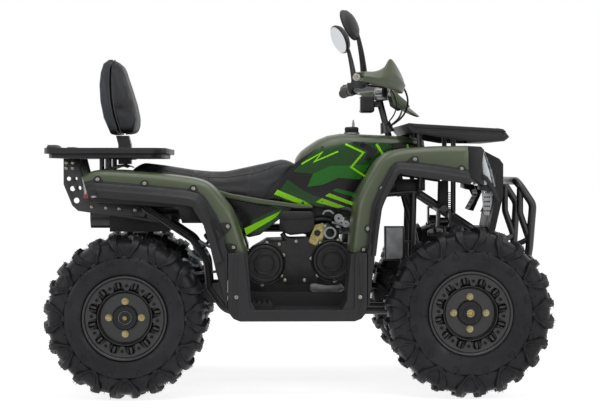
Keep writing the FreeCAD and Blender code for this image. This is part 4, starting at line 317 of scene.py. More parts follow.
def end_tree(tree, given, copies):
    """Make the copies real, in the given finish, as what the group gives."""
    solid = put(tree, "GeometryNodeRealizeInstances", {}, {"Geometry": copies})
    finished = put(tree, "GeometryNodeSetMaterial", {}, {"Geometry": solid, "Material": given["Finish"]})
    put(tree, "NodeGroupOutput", {}, {0: finished})
    return tree


def through_tree(piece, tree, **values):
    """Run a piece through a node group with named inputs and keep the plain mesh."""
    maker = piece.modifiers.new("maker", "NODES")
    maker.node_group = tree
    for item in tree.interface.items_tree:
        if item.in_out == "INPUT" and item.name in values:
            maker[item.identifier] = values[item.name]
    return settle(piece)


# Copies of the incoming piece turned about a cross axis through a centre.
tree, given = start_tree("ring_of_copies", Piece="Geometry", Copies="Int", Start="Float", Centre="Vector",
                         Finish="Material")
line = put(tree, "GeometryNodeMeshLine", {"Offset": (0, 0, 0)}, {"Count": given["Copies"]})
copies = put(tree, "GeometryNodeInstanceOnPoints", {}, {"Points": line, "Instance": given["Piece"]})
pitch = put(tree, "ShaderNodeMath", {0: 2 * math.pi}, {1: given["Copies"]}, operation="DIVIDE")
angle = put(tree, "ShaderNodeMath", {}, {0: put(tree, "GeometryNodeInputIndex"), 1: pitch, 2: given["Start"]},
            operation="MULTIPLY_ADD")
turn = put(tree, "FunctionNodeEulerToRotation", {}, {0: put(tree, "ShaderNodeCombineXYZ", {}, {"Y": angle})})
spread = put(tree, "GeometryNodeRotateInstances", {"Local Space": False}, {"Instances": copies, "Rotation": turn})
moved = put(tree, "GeometryNodeTranslateInstances", {"Local Space": False},
            {"Instances": spread, "Translation": given["Centre"]})
ring_of_copies = end_tree(tree, given, moved)

# Thin tapered hairs scattered over the incoming skin, clear of the floor.
tree, given = start_tree("vent_hairs", Skin="Geometry", Density="Float", Seed="Int", Floor="Float",
                         Finish="Material")
height = put(tree, "ShaderNodeSeparateXYZ", {}, {0: put(tree, "GeometryNodeInputPosition")})
clear = put(tree, "ShaderNodeMath", {}, {0: height.outputs["Z"], 1: given["Floor"]}, operation="GREATER_THAN")
spots = put(tree, "GeometryNodeDistributePointsOnFaces", {}, {
    "Mesh": given["Skin"], "Selection": clear, "Density": given["Density"], "Seed": given["Seed"]}).outputs
hair = put(tree, "GeometryNodeMeshCone", fill_type="NONE", settings={
    "Vertices": 3, "Radius Top": 0.0006, "Radius Bottom": 0.0013, "Depth": 0.009})
size = put(tree, "FunctionNodeRandomValue", {"Min": (0.8, 0.8, 0.4), "Max": (1, 1, 1)}, {"Seed": given["Seed"]},
           data_type="FLOAT_VECTOR")
copies = put(tree, "GeometryNodeInstanceOnPoints", {}, {
    "Points": spots["Points"], "Instance": hair, "Rotation": spots["Rotation"], "Scale": size})
vent_hairs = end_tree(tree, given, copies)

lug_count = 12
carcass_shares = (
    (0.0, 0.905), (0.25, 0.9), (0.5, 0.882), (0.68, 0.845), (0.79, 0.78), (0.85, 0.69), (0.872, 0.6), (0.872, 0.535),
    (0.885, 0.5), (0.935, 0.47), (0.962, 0.4), (0.962, 0.3), (0.92, 0.18), (0.86, 0.09), (0.8, 0.03), (0.77, 0.0),
)
# Stations of a lug's arm: place along the shares above, degrees from the V's middle, width, height share,
# depth of the groove down its back.
long_arm = (
    (9.0, 0.5, 9, 0.2, 0), (8.3, 1.2, 12, 0.5, 1), (7.4, 2.4, 14, 0.72, 3), (6.5, 3.8, 15, 0.8, 3.5),
    (5.6, 5.6, 16, 0.86, 3.5), (5.0, 7.0, 19, 0.96, 1.5), (4.5, 8.0, 24, 1.04, 0), (3.9, 8.6, 26, 1.08, 0),
    (3.1, 8.6, 24, 1.02, 0), (2.2, 7.6, 21, 1.0, 0), (1.2, 5.4, 19, 1.0, 0), (0.3, 3.0, 17, 1.0, 0),
)
short_arm = tuple((place, -degrees, *rest) for place, degrees, *rest in long_arm[:9]) + ((2.3, -9.0, 22, 1.0, 0),)
centre_block = ((1.7, -7.6, 15, 1.0, 0), (1.1, -6.8, 19, 1.02, 0), (0.4, -5.4, 19, 1.02, 0), (-0.5, -5.0, 15, 1.0, 0))
mark_corners = ((10.4, 11.6), (10.4, 18.4), (7.6, 15.0), (10.4, 11.6))
steps_per_share = 8
end_height, end_width = 0.55, 0.9


def on_tyre(line, place, degrees, side, height=0.0):
    """A point of the tyre about its axle: a place along the shares, an angle, and a height over the skin."""
    index = min(int(abs(place) * steps_per_share), len(line) - 2)
    spot = line[index].lerp(line[index + 1], abs(place) * steps_per_share - index)
    run = (line[index + 1] - line[index]).normalized()
    out, up = spot.x - run.y * height, spot.y + run.x * height
    turn = math.radians(degrees)
    return Vector((up * math.sin(turn), side * (out if place >= 0 else -out), up * math.cos(turn)))


def arm(line, stations, lug_height, side):
    """One bevelled bar of a lug, wrapped over the tyre."""
    rings = []
    spots = [on_tyre(line, share, degrees, side) for share, degrees, *_ in stations]
    for number, (share, degrees, wide, tall, groove) in enumerate(stations):
        before, after = around(spots, number)
        up = (on_tyre(line, share, degrees, side, 1.0) - spots[number]).normalized()
        across = up.cross(after - before).normalized()
        tall *= lug_height
        if number in (0, len(stations) - 1):
            tall, wide = tall * end_height, wide * end_width
        half = ((-0.56, -1.5), (-0.5, 0.82 * tall), (-0.42, tall), (-0.2, tall), (-0.12, tall - groove))
        shape = half + tuple((-x, h) for x, h in half[::-1])
        rings.append([spots[number] + across * (x * wide) + up * h for x, h in shape])
    return loft(rings)


def ring(piece, copies, degrees, centre):
    """Even copies of a piece round a wheel's axle, from a start in degrees."""
    return through_tree(piece, ring_of_copies, Copies=copies, Start=math.radians(degrees), Centre=Vector(centre) * MM,
                        Finish=piece.data.materials[0])


def merged(name, pieces):
    """One object from several, with their finishes kept."""
    work = bmesh.new()
    finishes = []
    for piece in pieces:
        start = len(work.faces)
        work.from_mesh(piece.data)
        work.faces.ensure_lookup_table()
        finishes += [material for material in piece.data.materials if material not in finishes]
        for face in work.faces[start:]:
            face.material_index = finishes.index(piece.data.materials[face.material_index])
    mesh = bpy.data.meshes.new(name)
    work.to_mesh(mesh)
    work.free()
    for material in finishes:
        mesh.materials.append(material)
    result = new_object(name, mesh)
    for piece in pieces:
        bpy.data.objects.remove(piece)
    return result


def tyre(name, centre, radius, width, body):
    bead, half = 131.0, width / 2
    line = flowing([(out * half, bead + up * (radius - bead), 0) for out, up in carcass_shares], steps_per_share)
    outer = [(spot.y, spot.x) for spot in line[::2]]
    whole = outer[::-1] + [(up, -out) for up, out in outer[1:]] + [(bead - 2, -0.72 * half), (bead - 2, 0.72 * half)]
    carcass = turned(whole, 144, about_axle)
    lug_height = (1 - carcass_shares[0][1]) * (radius - bead)
    lugs = []
    for side in (-1, 1):
        parts = [arm(line, stations, lug_height, side) for stations in (long_arm, short_arm, centre_block)]
        for first, second in zip(mark_corners, mark_corners[1:]):
            stations = [(first[0] + (second[0] - first[0]) * share, first[1] + (second[1] - first[1]) * share,
                         3.2, 0.2, 0) for share in (0.0, 0.34, 0.67, 1.0)]
            parts.append(arm(line, stations, lug_height, side))
        lugs.append(ring(make_piece(name + "_lugs", parts, tyre_rubber), lug_count, 15 if side > 0 else 0, centre))
    rubber = merged(name + "_rubber", [make_piece(name + "_carcass", [carcass], tyre_rubber, centre)] + lugs)
    hairs = new_object(name + "_hairs", rubber.data.copy())
    through_tree(hairs, vent_hairs, Density=1500.0, Seed=int(abs(centre[0]) + centre[1]), Floor=0.012,
                 Finish=tyre_rubber)
    place_on(merged(name + "_rubber", [rubber, hairs]), name, body=body, sharp=32)


half_base, front_radius, rear_radius = 582.5, 292.0, 279.5
front_middle, rear_middle = 420.0, 410.0
wheels = (
    ("front_right", (half_base, -front_middle, front_radius), front_radius, 178, "wheel_front_right", -1),
    ("front_left", (half_base, front_middle, front_radius), front_radius, 178, "wheel_front_left", 1),
    ("rear_right", (-half_base, -rear_middle, rear_radius), rear_radius, 240, "rear_wheels", -1),
    ("rear_left", (-half_base, rear_middle, rear_radius), rear_radius, 240, "rear_wheels", 1),
)
for name, centre, radius, width, body, side in wheels:
    tyre("tyre_" + name, centre, radius, width, body)

# Rims. Pressed and welded steel in satin black paint: a rolled lip, a lock ring with twelve bolted
# tabs and rounded pockets between them, and a deep dish with four nuts round the hub.

# Satin paint on pressed steel: smooth, a little orange peel, soft reflections.
wheel_paint = finish("wheel_black", "satin_black_paint", "#161618", 0.38, shades=(20, "#121214", "#1c1c1f"),
                     sheen=(60, 0.3, 0.46), grain=(650, 1, 0.00008, 0.5), Coat_Weight=0.1, Coat_Roughness=0.3)
# Yellow-zinc plated nuts: warm metal with a faint rainbow unevenness.
yellow_zinc = finish("steel", "yellow_zinc_plate", "#8f8352", 0.35, 1.0, shades=(180, "#7d7348", "#a3976a"))
# Dull cast iron hub with a machined face.
hub_iron = finish("steel", "machined_cast_iron", "#232325", 0.42, 0.7, shades=(160, "#1e1e20", "#28282b"),
                  sheen=(300, 0.35, 0.6))

# Sections as (radius, depth behind the rim's outer face); the barrel's first ones count from its inner face.
lip_section = (
    (137, 9), (141, 7), (142.8, 4), (142, 1.4), (140, 0), (137, 1), (134, 4), (131.5, 9), (129, 12), (127, 15),
    (124.5, 24), (118, 30), (105, 31), (98, 28), (94, 20), (92.4, 15), (91, 14), (89.6, 15.5), (88.6, 20), (86.5, 34),
    (82, 39), (60, 40.5), (33, 40.5), (33, 46), (60, 46), (86, 45), (93, 41), (102, 37), (117, 37), (123, 44),
)
barrel_section = (
    (124, -14), (131, -10), (141, -4), (142.8, -1), (140, 0), (135, 0), (129, -6), (120, -14), (119, 50), (116, 42),
)


def inside(point, outline):
    x, z = point
    odd = False
    for (ax, az), (bx, bz) in zip(outline, outline[1:] + outline[:1]):
        if (az > z) != (bz > z) and x < (bx - ax) * (z - az) / (bz - az) + ax:
            odd = not odd
    return odd


def middle_of(face, flat):
    return sum((flat[index] for index in face), Vector((0, 0))) / len(face)


def plate_shape(outline, holes, thickness, way):
    """A plate from a flat outline with round or shaped holes; way maps (across, up, deep) to a point."""
    verts, edges = [], []
    for loop in [outline, *holes]:
        start = len(verts)
        verts += [Vector(point) for point in loop]
        edges += [(start + i, start + (i + 1) % len(loop)) for i in range(len(loop))]
    flat, _, faces, *_ = delaunay_2d_cdt([v.to_2d() for v in verts], edges, [], 1, 1e-6)
    faces = [tuple(face) for face in faces if not any(inside(middle_of(face, flat), hole) for hole in holes)]
    count = len(flat)
    skins = faces + [tuple(index + count for index in reversed(face)) for face in faces]
    sides = [pair for face in faces for pair in zip(face, face[1:] + face[:1])]
    known = set(sides)
    skins += [(first, first + count, second + count, second) for first, second in sides
              if (second, first) not in known]
    return [way(v.x, v.y, deep) for deep in (0, thickness) for v in flat], skins


def side_plate(outline, near, far, side=-1, holes=()):
    """A plate cut to a side outline in (x, z) between two distances from the middle."""
    return plate_shape(outline, holes, far - near, lambda x, z, deep: (x, side * (near + deep), z))


def circle_of(across, up, radius, steps=16):
    return [(across + radius * math.cos(turn), up + radius * math.sin(turn)) for turn in circle(steps)]


def polar(line):
    """Points about the axle from (radius, degrees from the top)."""
    return [(radius * math.sin(math.radians(turn)), radius * math.cos(math.radians(turn))) for radius, turn in line]


def rim(name, centre, width, body, side):
    half = 0.43 * width + 6.5

    def behind(depth):
        """The place along the axle of a depth behind the rim's outer face."""
        return side * (half - depth)

    def plate(outline, depth, thickness, holes=()):
        return plate_shape(outline, holes, thickness, lambda x, z, deep: Vector((x, behind(depth + deep), z)))

    def spun(section, steps):
        return turned([(radius, behind(depth)) for radius, depth in section], steps, about_axle)

    barrel = [(radius, depth if depth > 0 else 2 * half + depth) for radius, depth in barrel_section[::-1]]
    shell = make_piece(name + "_shell", [spun([*lip_section, *barrel], 120)], wheel_paint, centre)
    tab_line = [(95, -4.2), (94, 0), (95, 4.2), (103, 5.6), (112, 6.6), (118, 8.2), (122, 11), (123.5, 15)]
    tab_line += [(131.5, 15 - 2.5 * k) for k in range(13)]
    tab_line += [(123.5, -15), (122, -11), (118, -8.2), (112, -6.6), (103, -5.6)]
    bolt_hole = circle_of(0, 110, 5.4)
    tab = plate(polar(tab_line), 7, 8, [bolt_hole])
    edge_ring = plate(circle_of(0, 110, 7.6), 5.4, 2, [bolt_hole])
    web = plate(polar([(96, -2.4), (96, 2.4), (103, 3.4), (102.5, 0), (103, -3.4)]), 14, 14)
    pocket_rings = []
    for step in range(8):
        radius, swell = 97 + step * 3.6, 9.5 * math.sin(math.pi * min(0.5, 0.14 + step / 11))
        pocket_rings.append([Matrix.Rotation(math.radians(15), 4, "Y") @ Vector((
            swell * math.cos(a), behind(27 - 1.1 * swell * math.sin(a)), radius))
            for a in [math.pi * k / 10 for k in range(11)]])
    pocket = sheet(pocket_rings)
    sector = make_piece(name + "_sector", [tab, edge_ring, web, pocket], wheel_paint)
    painted = merged(name + "_painted", [shell, ring(sector, 12, 4, centre)])
    bevel(painted, 0.9, 2, 50)
    place_on(painted, name, body=body, sharp=40)
    build(name + "_hub_cap", [
        spun([(0.1, 31), (39, 31), (41.5, 33.5), (41.5, 42), (0.1, 42)], 48),
        spun([(0.1, 24), (18, 24), (21, 26), (21, 31.5), (0.1, 31.5)], 40)], hub_iron, centre=centre, body=body)
    nut, collar, stud = (plate(circle_of(0, 55, radius, steps), depth, thick) for radius, steps, depth, thick in (
        (9.5, 6, 25.5, 13), (12, 20, 38, 3), (5, 12, 22, 20)))
    nuts = ring(make_piece(name + "_nuts", [nut, collar, stud], yellow_zinc), 4, 0, centre)
    reach = 13 if "front" in name else 7
    tip_section = [(0.1, 20), (0.55 * reach, 20), (0.7 * reach, 16), (reach, 16), (reach + 1, 18), (reach + 1, 25),
                   (0.1, 25)]
    tip = make_piece(name + "_axle_tip", [spun(tip_section, 32)], yellow_zinc, centre)
    place_on(merged(name + "_zinc", [nuts, tip]), body=body, sharp=30)


for name, centre, radius, width, body, side in wheels:
    rim("rim_" + name, centre, width, body, side)

# Running gear that the CAD model makes whole: frame tubes, arms, knuckles, hubs, axle, chain and column.
# Steel tube and plate, powder coated black; turned parts and the chain are bare, oiled steel.


def dress(material, *names):
    """Give CAD nodes a finish."""
    for name in names:
        for slot in nodes[name].material_slots:
            slot.material = material


# Powder coat: deep black with a fine orange peel and dust in places.
powder_coat = finish("black_metal", "powder_coated_steel", "#131315", 0.36, shades=(9, "#101012", "#1c1c1f"),
                     sheen=(30, 0.28, 0.48), grain=(500, 2, 0.0001, 0.5), Coat_Weight=0.2, Coat_Roughness=0.2)
dress(powder_coat, "frame", "swing_arm", "front_arms", "rack_brackets", "backrest_post", "bumper", "steering_column",
      "handlebar", "exhaust", "knuckle_right", "knuckle_left")
# Turned and ground steel: fine tool marks drawn as small streaks, a thin film of oil.
turned_steel = finish("steel", "turned_steel", "#8b8c8e", 0.3, 1.0, shades=(60, "#77787a", "#9a9b9e"),
                      sheen=(200, 0.22, 0.42))
dress(turned_steel, "hub_front_right", "hub_front_left", "rear_axle", "tie_rod_right", "tie_rod_left", "chain")

# Covers and racks. Injection-moulded polypropylene, grained and dull, screwed to brackets on the frame:
# an olive skin over each axle and a black flare that returns under its edge.

# Grained black polypropylene: a leathery cell grain of about 1.5 mm, coarser than real so that it shows.
black_plastic = finish("black_plastic", "grained_polypropylene", "#1c1b1d", 0.46, shades=(6, "#19181a", "#201f22"),
                       sheen=(25, 0.42, 0.58), Specular_IOR_Level=0.35)


def cell_distance(tree, scale):
    """The leather grain's cells in the object's own coordinates."""
    place = tree.nodes["Texture Coordinate"].outputs["Object"]
    return put(tree, "ShaderNodeTexVoronoi", {"Scale": scale}, {"Vector": place}).outputs["Distance"]


relief(black_plastic.node_tree, cell_distance(black_plastic.node_tree, 620), 0.00018, 0.5)
dress(black_plastic, "footwell_right", "footwell_left", "rear_rack", "front_rack", "nose_panel", "meter", "intake",
      "tool_box", "grilles")
# Olive polypropylene, polished mould: an even colour with a slight sheen.
olive_plastic = finish("olive_plastic", "olive_polypropylene", "#4a543a", 0.36, shades=(4, "#475137", "#4d583d"),
                       sheen=(30, 0.3, 0.44), grain=(350, 2, 0.0001, 0.5), Coat_Weight=0.15, Coat_Roughness=0.25)
dress(olive_plastic, "hand_guards", "front_shield")

fender_inner, foot_inner, fender_outer, flare_outer, fender_roll = 165.0, 206.0, 440.0, 502.0, 22.0
# Each path runs through (x, z, width of the guard's edge there).
rear_path = (
    (-733, 755, 26), (-682, 776, 42), (-570, 772, 46), (-452.5, 762, 46), (-343, 746, 44), (-291, 722, 48),
    (-245, 670, 55), (-213, 620, 60), (-172, 497, 62),
)
front_path = (
    (178, 497, 56), (193, 618, 56), (208, 686, 55), (258, 782, 52), (294, 825, 46), (345, 847, 46), (459, 857, 66),
    (579, 859, 86),
)


def arch(path, wheel, rows, side):
    """Rings of a guard that follows a path over a wheel; each row gives (out, share of width, depth)."""
    line = flowing(path, 6)
    rings = []
    for number, spot in enumerate(line):
        before, after = around(line, number)
        run = Vector((after.x - before.x, after.y - before.y)).normalized()
        inward = Vector((run.y, -run.x))
        if inward.dot(Vector((wheel[0] - spot.x, wheel[1] - spot.y))) < 0:
            inward = -inward
        section = []
        for out, share, deep in rows(number / (len(line) - 1)):
            drop = share * spot.z + deep
            section.append(Vector((spot.x + inward.x * drop, side * out, spot.y + inward.y * drop)))
        rings.append(section)
    return sheet(rings)


def face_up(piece):
    if sum(face.normal.z for face in piece.data.polygons) < 0:
        piece.data.flip_normals()


def guard(name, path, wheel, rows, thickness, material, *replaced):
    piece = make_piece(name, [arch(path, wheel, rows, side) for side in (-1, 1)], material)
    face_up(piece)
    wall(piece, thickness)
    bevel(piece, 1.2, 2, 60)
    place_on(piece, *replaced, sharp=40)


def skin_rows(foot_first):
    """The olive skin: a crown that rolls over the edge, wider from the middle at its foot."""
    def rows(share):
        foot = max(0.0, 1 - share / 0.35) if foot_first else max(0.0, (share - 0.65) / 0.35)
        inner = fender_inner + (foot_inner - fender_inner) * min(1.0, foot * 1.4)
        roll, edge = fender_roll, fender_outer
        return ((inner, 0, 0), (inner + 0.5 * (edge - inner), 0, -1), (edge - 2 * roll, 0, 0),
                (edge - 1.1 * roll, 0, 0.06 * roll), (edge - 0.55 * roll, 0, 0.24 * roll),
                (edge - 0.2 * roll, 0, 0.56 * roll), (edge, 0, roll), (edge + 1, 0.5, 0.4 * roll), (edge + 1, 1, 0))
    return rows


def flare_rows(leg_deep, top_deep):
    """The black flare: a step out from the skin's edge and a lip that returns, deeper over the wheel."""
    def rows(share):
        edge, lip = fender_outer, flare_outer
        rise = max(0.0, min(1.0, (share - 0.5) / 0.3))
        deep = leg_deep + (top_deep - leg_deep) * rise * rise * (3 - 2 * rise)
        return ((edge - 5, 1, -7), (edge + 2.5, 1, -5), (edge + 4, 1, 0), (edge + 14, 1, 2), (edge + 17, 1, 6),
                (edge + 40, 1, 0.22 * deep + 4), (lip - 8, 1, 0.36 * deep + 4), (lip - 2, 1, 0.44 * deep + 4),
                (lip, 1, 0.6 * deep + 4), (lip, 1, deep))
    return rows


rear_wheel, front_wheel = (-half_base, rear_radius), (half_base, front_radius)
guard("rear_fender_skin", rear_path, rear_wheel, skin_rows(False), 4.5, olive_plastic, "rear_fender")
guard("front_fender_skin", front_path, front_wheel, skin_rows(True), 4.5, olive_plastic, "front_fender")
guard("rear_flare_guard", rear_path, rear_wheel, flare_rows(50, 50), 4, black_plastic, "rear_flares")
guard("front_flare_guard", front_path, front_wheel, flare_rows(28, 46), 4, black_plastic, "front_flares")

# Screws of the covers. Zinc-plated button heads with a hexagon socket, each on a rounded black tab that
# rises from the guard over the edge of the olive skin.

# Zinc plate: pale grey, slightly dull.
zinc = finish("steel", "zinc_plated_steel", "#8d8b80", 0.36, 1.0, shades=(150, "#7a786e", "#9b998d"))

# A copy of the piece at each vertex of the incoming mesh, with its top turned to the vertex's facing.
tree, given = start_tree("copies_at_marks", Marks="Geometry", Piece="Object", Finish="Material")
facing = put(tree, "GeometryNodeInputNamedAttribute", {"Name": "facing"}, data_type="FLOAT_VECTOR")
turn = put(tree, "FunctionNodeAlignRotationToVector", {}, {"Vector": facing}, axis="Z")
shape = put(tree, "GeometryNodeObjectInfo", {}, {"Object": given["Piece"]})
copies = put(tree, "GeometryNodeInstanceOnPoints", {}, {
    "Points": given["Marks"], "Instance": shape.outputs["Geometry"], "Rotation": turn})
copies_at_marks = end_tree(tree, given, copies)


def lathe(section, steps=32):
    """A turned solid about +Z; its section of (radius, height) runs from the axis to the axis."""
    return turned(section, steps, lambda across, up, height: (across, up, height), closed=False)


def button_head(radius, height):
    """A low head with a hexagon socket; the socket's flats lie at every second of twelve angles."""
    rings = [[Vector((r * math.cos(turn), r * math.sin(turn), h)) for turn in circle(12)] for r, h in (
        (radius, 0), (radius, 0.4 * height), (0.85 * radius, 0.8 * height), (0.62 * radius, height))]
    for r, h in ((0.4 * radius, height), (0.4 * radius, 0.35 * height), (0.001, 0.35 * height)):
        edges = [r if number % 2 == 0 else r * math.cos(math.pi / 6) for number in range(12)]
        rings.append([Vector((edge * math.cos(turn), edge * math.sin(turn), h))
                      for edge, turn in zip(edges, circle(12))])
    return loft(rings)


screw = make_piece("screw_shape", [button_head(7.4, 4.6)], zinc)
soften(screw, 30)


def screws(name, spots, body="chassis"):
    """One piece from screws at (point, facing) places."""
    mesh = bpy.data.meshes.new(name)
    mesh.from_pydata([Vector(point) * MM for point, _ in spots], [], [])
    facing = mesh.attributes.new("facing", "FLOAT_VECTOR", "POINT")
    for value, (_, direction) in zip(facing.data, spots):
        value.vector = direction
    piece = through_tree(new_object(name, mesh), copies_at_marks, Piece=screw, Finish=zinc)
    place_on(piece, body=body, slot="steel", sharp=None)


def slab(name, near, far, outline, material, *replaced, holes=(), soft=1.2, sides=(-1, 1), steps=2, **place):
    """A piece from side plates on one side or both."""
    shapes = [side_plate(outline, near, far, side, holes) for side in sides]
    build(name, shapes, material, *replaced, edge=(soft, steps, 30) if soft else None, sharp=40, **place)


def blend(values, place):
    """The value at a place between the items of a list, or the last one beyond them."""
    index = int(place)
    first, second = (values[min(number, len(values) - 1)] for number in (index, index + 1))
    return first + (second - first) * (place - index)


def tube_shape(path, radius, sides=14, steps=5):
    """A round bar along a smooth path; the radius may be a list with one value for each given point."""
    line = flowing(path, steps) if steps else [Vector(point) for point in path]
    radii = [blend(radius, number / steps) if isinstance(radius, tuple) else radius for number in range(len(line))]
    run = (line[1] - line[0]).normalized()
    across = run.cross(Vector((0, 0, 1)) if abs(run.z) < 0.9 else Vector((1, 0, 0))).normalized()
    rings = []
    for number, spot in enumerate(line):
        before, after = around(line, number)
        run = (after - before).normalized()
        across = (across - run * across.dot(run)).normalized()
        up = run.cross(across)
        rings.append([spot + (across * math.cos(turn) + up * math.sin(turn)) * radii[number]
                      for turn in circle(sides)])
    return loft(rings)


def tube(name, paths, radius, material, *replaced, sides=14, steps=5, **place):
    build(name, [tube_shape(path, radius, sides, steps) for path in paths], material, *replaced, sharp=40, **place)


def mirrored(points):
    return [Vector((x, -y, z)) for x, y, z in points]


# Where the screws sit on the guards, as (x, z) of the heads' middles, with the way each tab points.
screw_places = (
    (-677, 744, 90), (-519, 730, 86), (-354, 713, 80), (-238, 585, 25), (-219, 513, 20),
    (397, 812, 62), (556, 780, 96), (285, 714, 150), (238, 577, 160), (224, 504, 165),
)
tab_foot, tab_neck, tab_round = Vector((26, 24)), Vector((2, 15)), 13
tab_shapes, screw_spots = [], []
for x, z, turn in screw_places:
    middle = Vector((x, z))
    way = Vector((math.cos(math.radians(turn)), math.sin(math.radians(turn))))
    aside = Vector((-way.y, way.x))
    outline = [middle - way * tab_foot.x - aside * tab_foot.y, middle - way * tab_foot.x + aside * tab_foot.y,
               middle + way * tab_neck.x + aside * tab_neck.y]
    outline += [middle + (way * math.cos(a) + aside * math.sin(a)) * tab_round
                for a in [math.radians(70 - 20 * k) for k in range(8)]]
    outline.append(middle + way * tab_neck.x - aside * tab_neck.y)
    for side in (-1, 1):
        tab_shapes.append(side_plate([tuple(point) for point in outline], 439, 444, side))
        screw_spots.append((Vector((x, side * 443.5, z)), (0, side, 0)))
build("guard_tabs", tab_shapes, black_plastic, edge=(1.6, 2, 50))
screws("guard_screws", screw_spots)

# Rear cowl. An olive moulding that closes the tail between the two rear guards, behind the seat,
# crowned across and turned down at its rear edge.

cowl_rings = [[Vector((x, y, z + 5 * (1 - (y / 170) ** 2))) for y in range(-168, 169, 24)] for x, z in (
    (-733, 748), (-731, 756), (-722, 764), (-700, 773), (-666, 781), (-640, 790), (-612, 792), (-594, 786))]
cowl = make_piece("rear_cowl", [sheet(cowl_rings)], olive_plastic)
face_up(cowl)
wall(cowl, 4)
place_on(cowl)

# Tank cover. One olive moulding over the fuel tank, hung on the frame between the side panels, with a
# crowned top that is cut out round the column.


def both_halves(right):
    """A ring from its right half, which starts on the middle plane."""
    return right[::-1] + mirrored(right[1:])


# Stations as (x, height of the crown, height of the lower edge).
cover_line = (
    (1, 815, 800), (8, 828, 788), (22, 845, 772), (47, 864, 750), (80, 885, 742), (116, 900, 736), (162, 907.5, 730),
    (240, 905, 752), (375, 899, 838), (425, 894, 838), (459, 887, 834),
)
cover_rings = []
for x, top, low in cover_line:
    wide = 134.5 * (1 - 0.34 * (1 - min(1.0, x / 90)) ** 2)
    crown = ((0, 0), (0.4, 0.6), (0.62, 3), (0.78, 8), (0.89, 17), (0.96, 30), (1, 48))
    cover_rings.append(both_halves([Vector((x, -wide * out, max(top - drop, low + 4))) for out, drop in crown]
                                   + [Vector((x, -wide, low))]))
cover = make_piece("tank_shell", [loft(cover_rings)], olive_plastic)
column_top, column_way = Vector((302, 0, 1049)), Vector((-0.2504, 0, 0.9681))
tunnel = make_piece("tunnel", [tube_shape([column_top - column_way * 90, column_top - column_way * 420], 26, 32, 0)],
                    olive_plastic)
cut = cover.modifiers.new("column_hole", "BOOLEAN")
cut.object, cut.operation, cut.solver = tunnel, "DIFFERENCE", "EXACT"
settle(cover)
bpy.data.objects.remove(tunnel)
cover.data.materials.clear()
cover.data.materials.append(olive_plastic)
for face in cover.data.polygons:
    face.material_index = 0
place_on(cover, "tank_cover", sharp=32)

# Side panels. Black mouldings with a crowned face, dressed with printed film: dark and mid green fields,
# lime zigzags and bars over a fine diamond print.


def edge_distance(point, outline):
    spot = Vector(point)
    nearest = math.inf
    for first, second in zip(outline, outline[1:] + outline[:1]):
        a, b = Vector(first), Vector(second)
        t = max(0.0, min(1.0, (spot - a).dot(b - a) / (b - a).length_squared))
        nearest = min(nearest, (spot - a - (b - a) * t).length)
    return nearest


def filled(outline, bound, spacing=12.0):
    """A fine triangle mesh of a flat outline, kept to what lies inside the bound as well."""
    loops = [outline] if bound is outline else [outline, bound]
    verts, edges = [], []
    for loop in loops:
        start = len(verts)
        for first, second in zip(loop, loop[1:] + loop[:1]):
            a, b = Vector(first), Vector(second)
            pieces = max(1, round((b - a).length / spacing))
            verts += [a + (b - a) * k / pieces for k in range(pieces)]
        edges += [(k, k + 1) for k in range(start, len(verts) - 1)] + [(len(verts) - 1, start)]
    low, high = (Vector([limit(spot[axis] for spot in outline) for axis in (0, 1)]) for limit in (min, max))
    for row in range(int((high.y - low.y) / spacing)):
        for column in range(int((high.x - low.x) / spacing)):
            spot = (low.x + (column + 0.5 + 0.25 * (row % 2)) * spacing, low.y + (row + 0.5) * spacing)
            if all(inside(spot, loop) and edge_distance(spot, loop) > 0.4 * spacing for loop in loops):
                verts.append(Vector(spot))
    flat, _, faces, *_ = delaunay_2d_cdt(verts, edges, [], 0, 1e-6)
    return flat, [tuple(face) for face in faces if all(inside(middle_of(face, flat), loop) for loop in loops)]


def crowned(name, outline, lift, material, bound):
    """A skin over an outline, on both sides, that swells outwards away from the bound's edge."""
    base, rise, reach = 147.0, 13.0, 26.0
    flat, faces = filled(outline, bound)
    used = sorted({index for face in faces for index in face})
    new_index = {old: new for new, old in enumerate(used)}
    faces = [tuple(new_index[index] for index in face) for face in faces]
    swells = [(flat[index], rise * (1 - math.exp(-edge_distance(flat[index], bound) / reach))) for index in used]
    shapes = [([Vector((spot.x, side * (base + lift + swell), spot.y)) for spot, swell in swells],
               [face if side < 0 else face[::-1] for face in faces]) for side in (-1, 1)]
    piece = make_piece(name, shapes, material)
    if sum(face.normal.y for face in piece.data.polygons if face.center.y < 0) > 0:
        piece.data.flip_normals()
    return piece


def film(name, colour):
    """Printed vinyl film under clear laminate: an even colour with fine scuffs in the gloss."""
    return finish("black_plastic", name, colour, 0.22, sheen=(90, 0.16, 0.32), grain=(240, 2, 0.00006, 0.5),
                  Specular_IOR_Level=0.25, Coat_Weight=0.06, Coat_Roughness=0.12)


lime_film = film("lime_film", "#9df400")
green_film = film("mid_green_film", "#23751a")
deep_film = film("dark_green_film", "#194a16")
# The black film carries a print of small diamonds, 9 mm apart.
black_film = film("black_diamond_film", "#101110")
tree = black_film.node_tree
turned_place = put(tree, "ShaderNodeMapping", {"Rotation": (0, math.radians(45), 0)},
                   {"Vector": tree.nodes["Texture Coordinate"].outputs["Object"]})
checks = put(tree, "ShaderNodeTexChecker", {"Scale": 155.0, "Color1": linear("#060706"), "Color2": linear("#151715")},
             {"Vector": turned_place})
tree.links.new(checks.outputs["Color"], tree.nodes["Principled BSDF"].inputs["Base Color"])

panel_outline = [(-112, 676), (-56, 746), (10, 810), (70, 850), (130, 862), (206, 876), (345, 872), (345, 849),
                 (300, 790), (239, 700), (215, 632), (118, 640), (45, 646), (-25, 658)]
panel = crowned("side_panel_moulding", panel_outline, 0, black_film, panel_outline)
wall(panel, 11.5)
place_on(panel, "side_panels")


